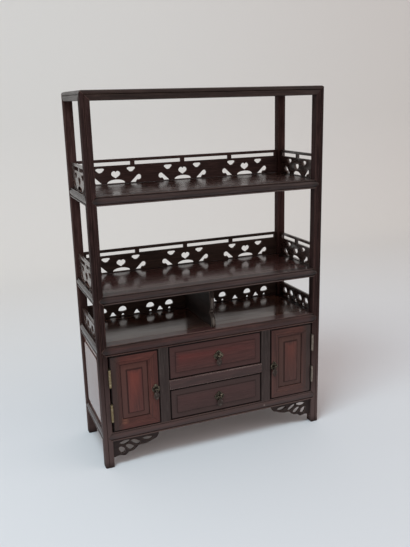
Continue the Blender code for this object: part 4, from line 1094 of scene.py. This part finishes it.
for drawer in ("upper", "lower"):
    low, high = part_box(f"drawer_box_{drawer}")
    pitch = (high.z - low.z) / TAIL_COUNT
    shape = bmesh.new()
    for x, way in ((low.x, -1), (high.x, 1)):
        for i in range(TAIL_COUNT):
            middle = low.z + (i + 0.5) * pitch
            end = low.y + TAIL_LENGTH
            outline = [(low.y, -TAIL_ROOT), (end, -TAIL_END), (end, TAIL_END), (low.y, TAIL_ROOT)]
            rings = [[Vector((x + way * rise, y, middle + share * pitch)) for y, share in outline]
                     for rise in (-TAIL_RISE, TAIL_RISE)]
            skin(shape, rings)
    piece(f"dovetails_{drawer}", shape, f"{drawer}_drawer", carvings["across"])
print(TAIL_COUNT, "tails on each drawer side")

# %% [markdown]
# ## Floor and backdrop
# The shelf stands on a pale cloth that sweeps up behind it. Two planes would meet in a line, so one
# bent strip makes both, and its tone goes from a cool floor to a paler wall.

# %% Stage
FLOOR_FRONT = -3.0
SWEEP_START = 1.3
SWEEP_RADIUS = 0.60
WALL_TOP = 2.8
STAGE_HALF = 7.0
SWEEP_STEPS = 16
FLOOR_TONE = "#d9dce0"
WALL_TONE = "#e5e6e4"
TONE_MASK = {1: 0.2, 2: 1.5}
CLOTH_ROUGHNESS = 0.95
CLOTH_SHINE = 0.1

profile = [(FLOOR_FRONT, 0.0)]
for i in range(SWEEP_STEPS + 1):
    angle = math.pi / 2 * i / SWEEP_STEPS
    profile.append((SWEEP_START + SWEEP_RADIUS * math.sin(angle), SWEEP_RADIUS * (1 - math.cos(angle))))
profile.append((SWEEP_START + SWEEP_RADIUS, WALL_TOP))
cloth = bmesh.new()
rows = [[cloth.verts.new((side * STAGE_HALF, y, z)) for side in (-1, 1)] for y, z in profile]
for low, high in zip(rows, rows[1:]):
    cloth.faces.new((low[0], low[1], high[1], high[0])).smooth = True
mesh = bpy.data.meshes.new("backdrop")
cloth.to_mesh(mesh)
cloth.free()
backdrop = bpy.data.objects.new("backdrop", mesh)
bpy.context.scene.collection.objects.link(backdrop)

material = bpy.data.materials.new("pale_cloth")
material.use_nodes = True
tree = material.node_tree
split = add(tree, "ShaderNodeSeparateXYZ", {0: add(tree, "ShaderNodeTexCoord").outputs["Object"]})
back = add(tree, RANGE, {0: split.outputs["Y"], **TONE_MASK})
tones = {0: back, 6: linear(FLOOR_TONE), 7: linear(WALL_TONE)}
shader = tree.nodes["Principled BSDF"]
tree.links.new(add(tree, MIX, tones, data_type="RGBA").outputs[2], shader.inputs["Base Color"])
shader.inputs["Roughness"].default_value = CLOTH_ROUGHNESS
shader.inputs["Specular IOR Level"].default_value = CLOTH_SHINE
mesh.materials.append(material)
print("backdrop profile points:", len(profile))

# %% [markdown]
# ## Light
# A large soft lamp hangs overhead, a little left and in front, as a skylight would, a weak one fills
# from the right, and an even warm sky lifts the shadows. Small lamps would put hard glints on the
# lacquer, which shows only broad pale ones.

# %% Lamps and sky
# Place, size in metres, power in watts and tint.
TARGET = Vector((0.0, 0.0, 0.33))
LAMPS = {
    "overhead": (Vector((-0.80, -0.70, 2.2)), 0.9, 30.0, "#def6ff"),
    "fill": (Vector((1.9, -1.5, 1.3)), 1.8, 6.0, "#fff0eb"),
}
SKY_TONE = "#fff0eb"
SKY_STRENGTH = 0.66

for name, (place, size, power, tint) in LAMPS.items():
    lamp = bpy.data.lights.new(name, "AREA")
    lamp.size = size
    lamp.energy = power
    lamp.color = linear(tint)[:3]
    holder = bpy.data.objects.new(name, lamp)
    holder.location = place
    holder.rotation_euler = (TARGET - place).to_track_quat("-Z", "Y").to_euler()
    bpy.context.scene.collection.objects.link(holder)
world = bpy.data.worlds.new("even_sky")
world.use_nodes = True
sky = world.node_tree.nodes["Background"]
sky.inputs["Color"].default_value = linear(SKY_TONE)
sky.inputs["Strength"].default_value = SKY_STRENGTH
bpy.context.scene.world = world
print("lamps:", list(LAMPS))

# %% [markdown]
# ## Camera
# The camera stands a little left of the shelf, well above its middle, and looks down with a small
# roll. Its place, angles and focal length were fitted to the shelf's corners in the picture, so they
# are given as numbers, where a tracking constraint would lose the roll.

# %% Camera
PHOTO_HEIGHT = 547
FOCAL_PIXELS = 647
SENSOR = 36.0
EYE = Vector((-0.4545, -1.1834, 0.6784))
YAW, PITCH, ROLL = (math.radians(a) for a in (21.58, -14.99, -1.512))

ahead = Vector((math.sin(YAW) * math.cos(PITCH), math.cos(YAW) * math.cos(PITCH), math.sin(PITCH)))
level_right = Vector((math.cos(YAW), -math.sin(YAW), 0.0))
level_up = level_right.cross(ahead)
right = level_right * math.cos(ROLL) + level_up * math.sin(ROLL)
up = level_up * math.cos(ROLL) - level_right * math.sin(ROLL)
camera = bpy.data.cameras.new("photo_camera")
camera.sensor_width = SENSOR
camera.lens = FOCAL_PIXELS * SENSOR / PHOTO_HEIGHT
viewer = bpy.data.objects.new("photo_camera", camera)
viewer.matrix_world = Matrix.Translation(EYE) @ Matrix((right, up, -ahead)).transposed().to_4x4()
bpy.context.scene.collection.objects.link(viewer)
bpy.context.scene.camera = viewer
bpy.context.scene.view_settings.view_transform = "Standard"
print(f"lens {camera.lens:.2f} mm")
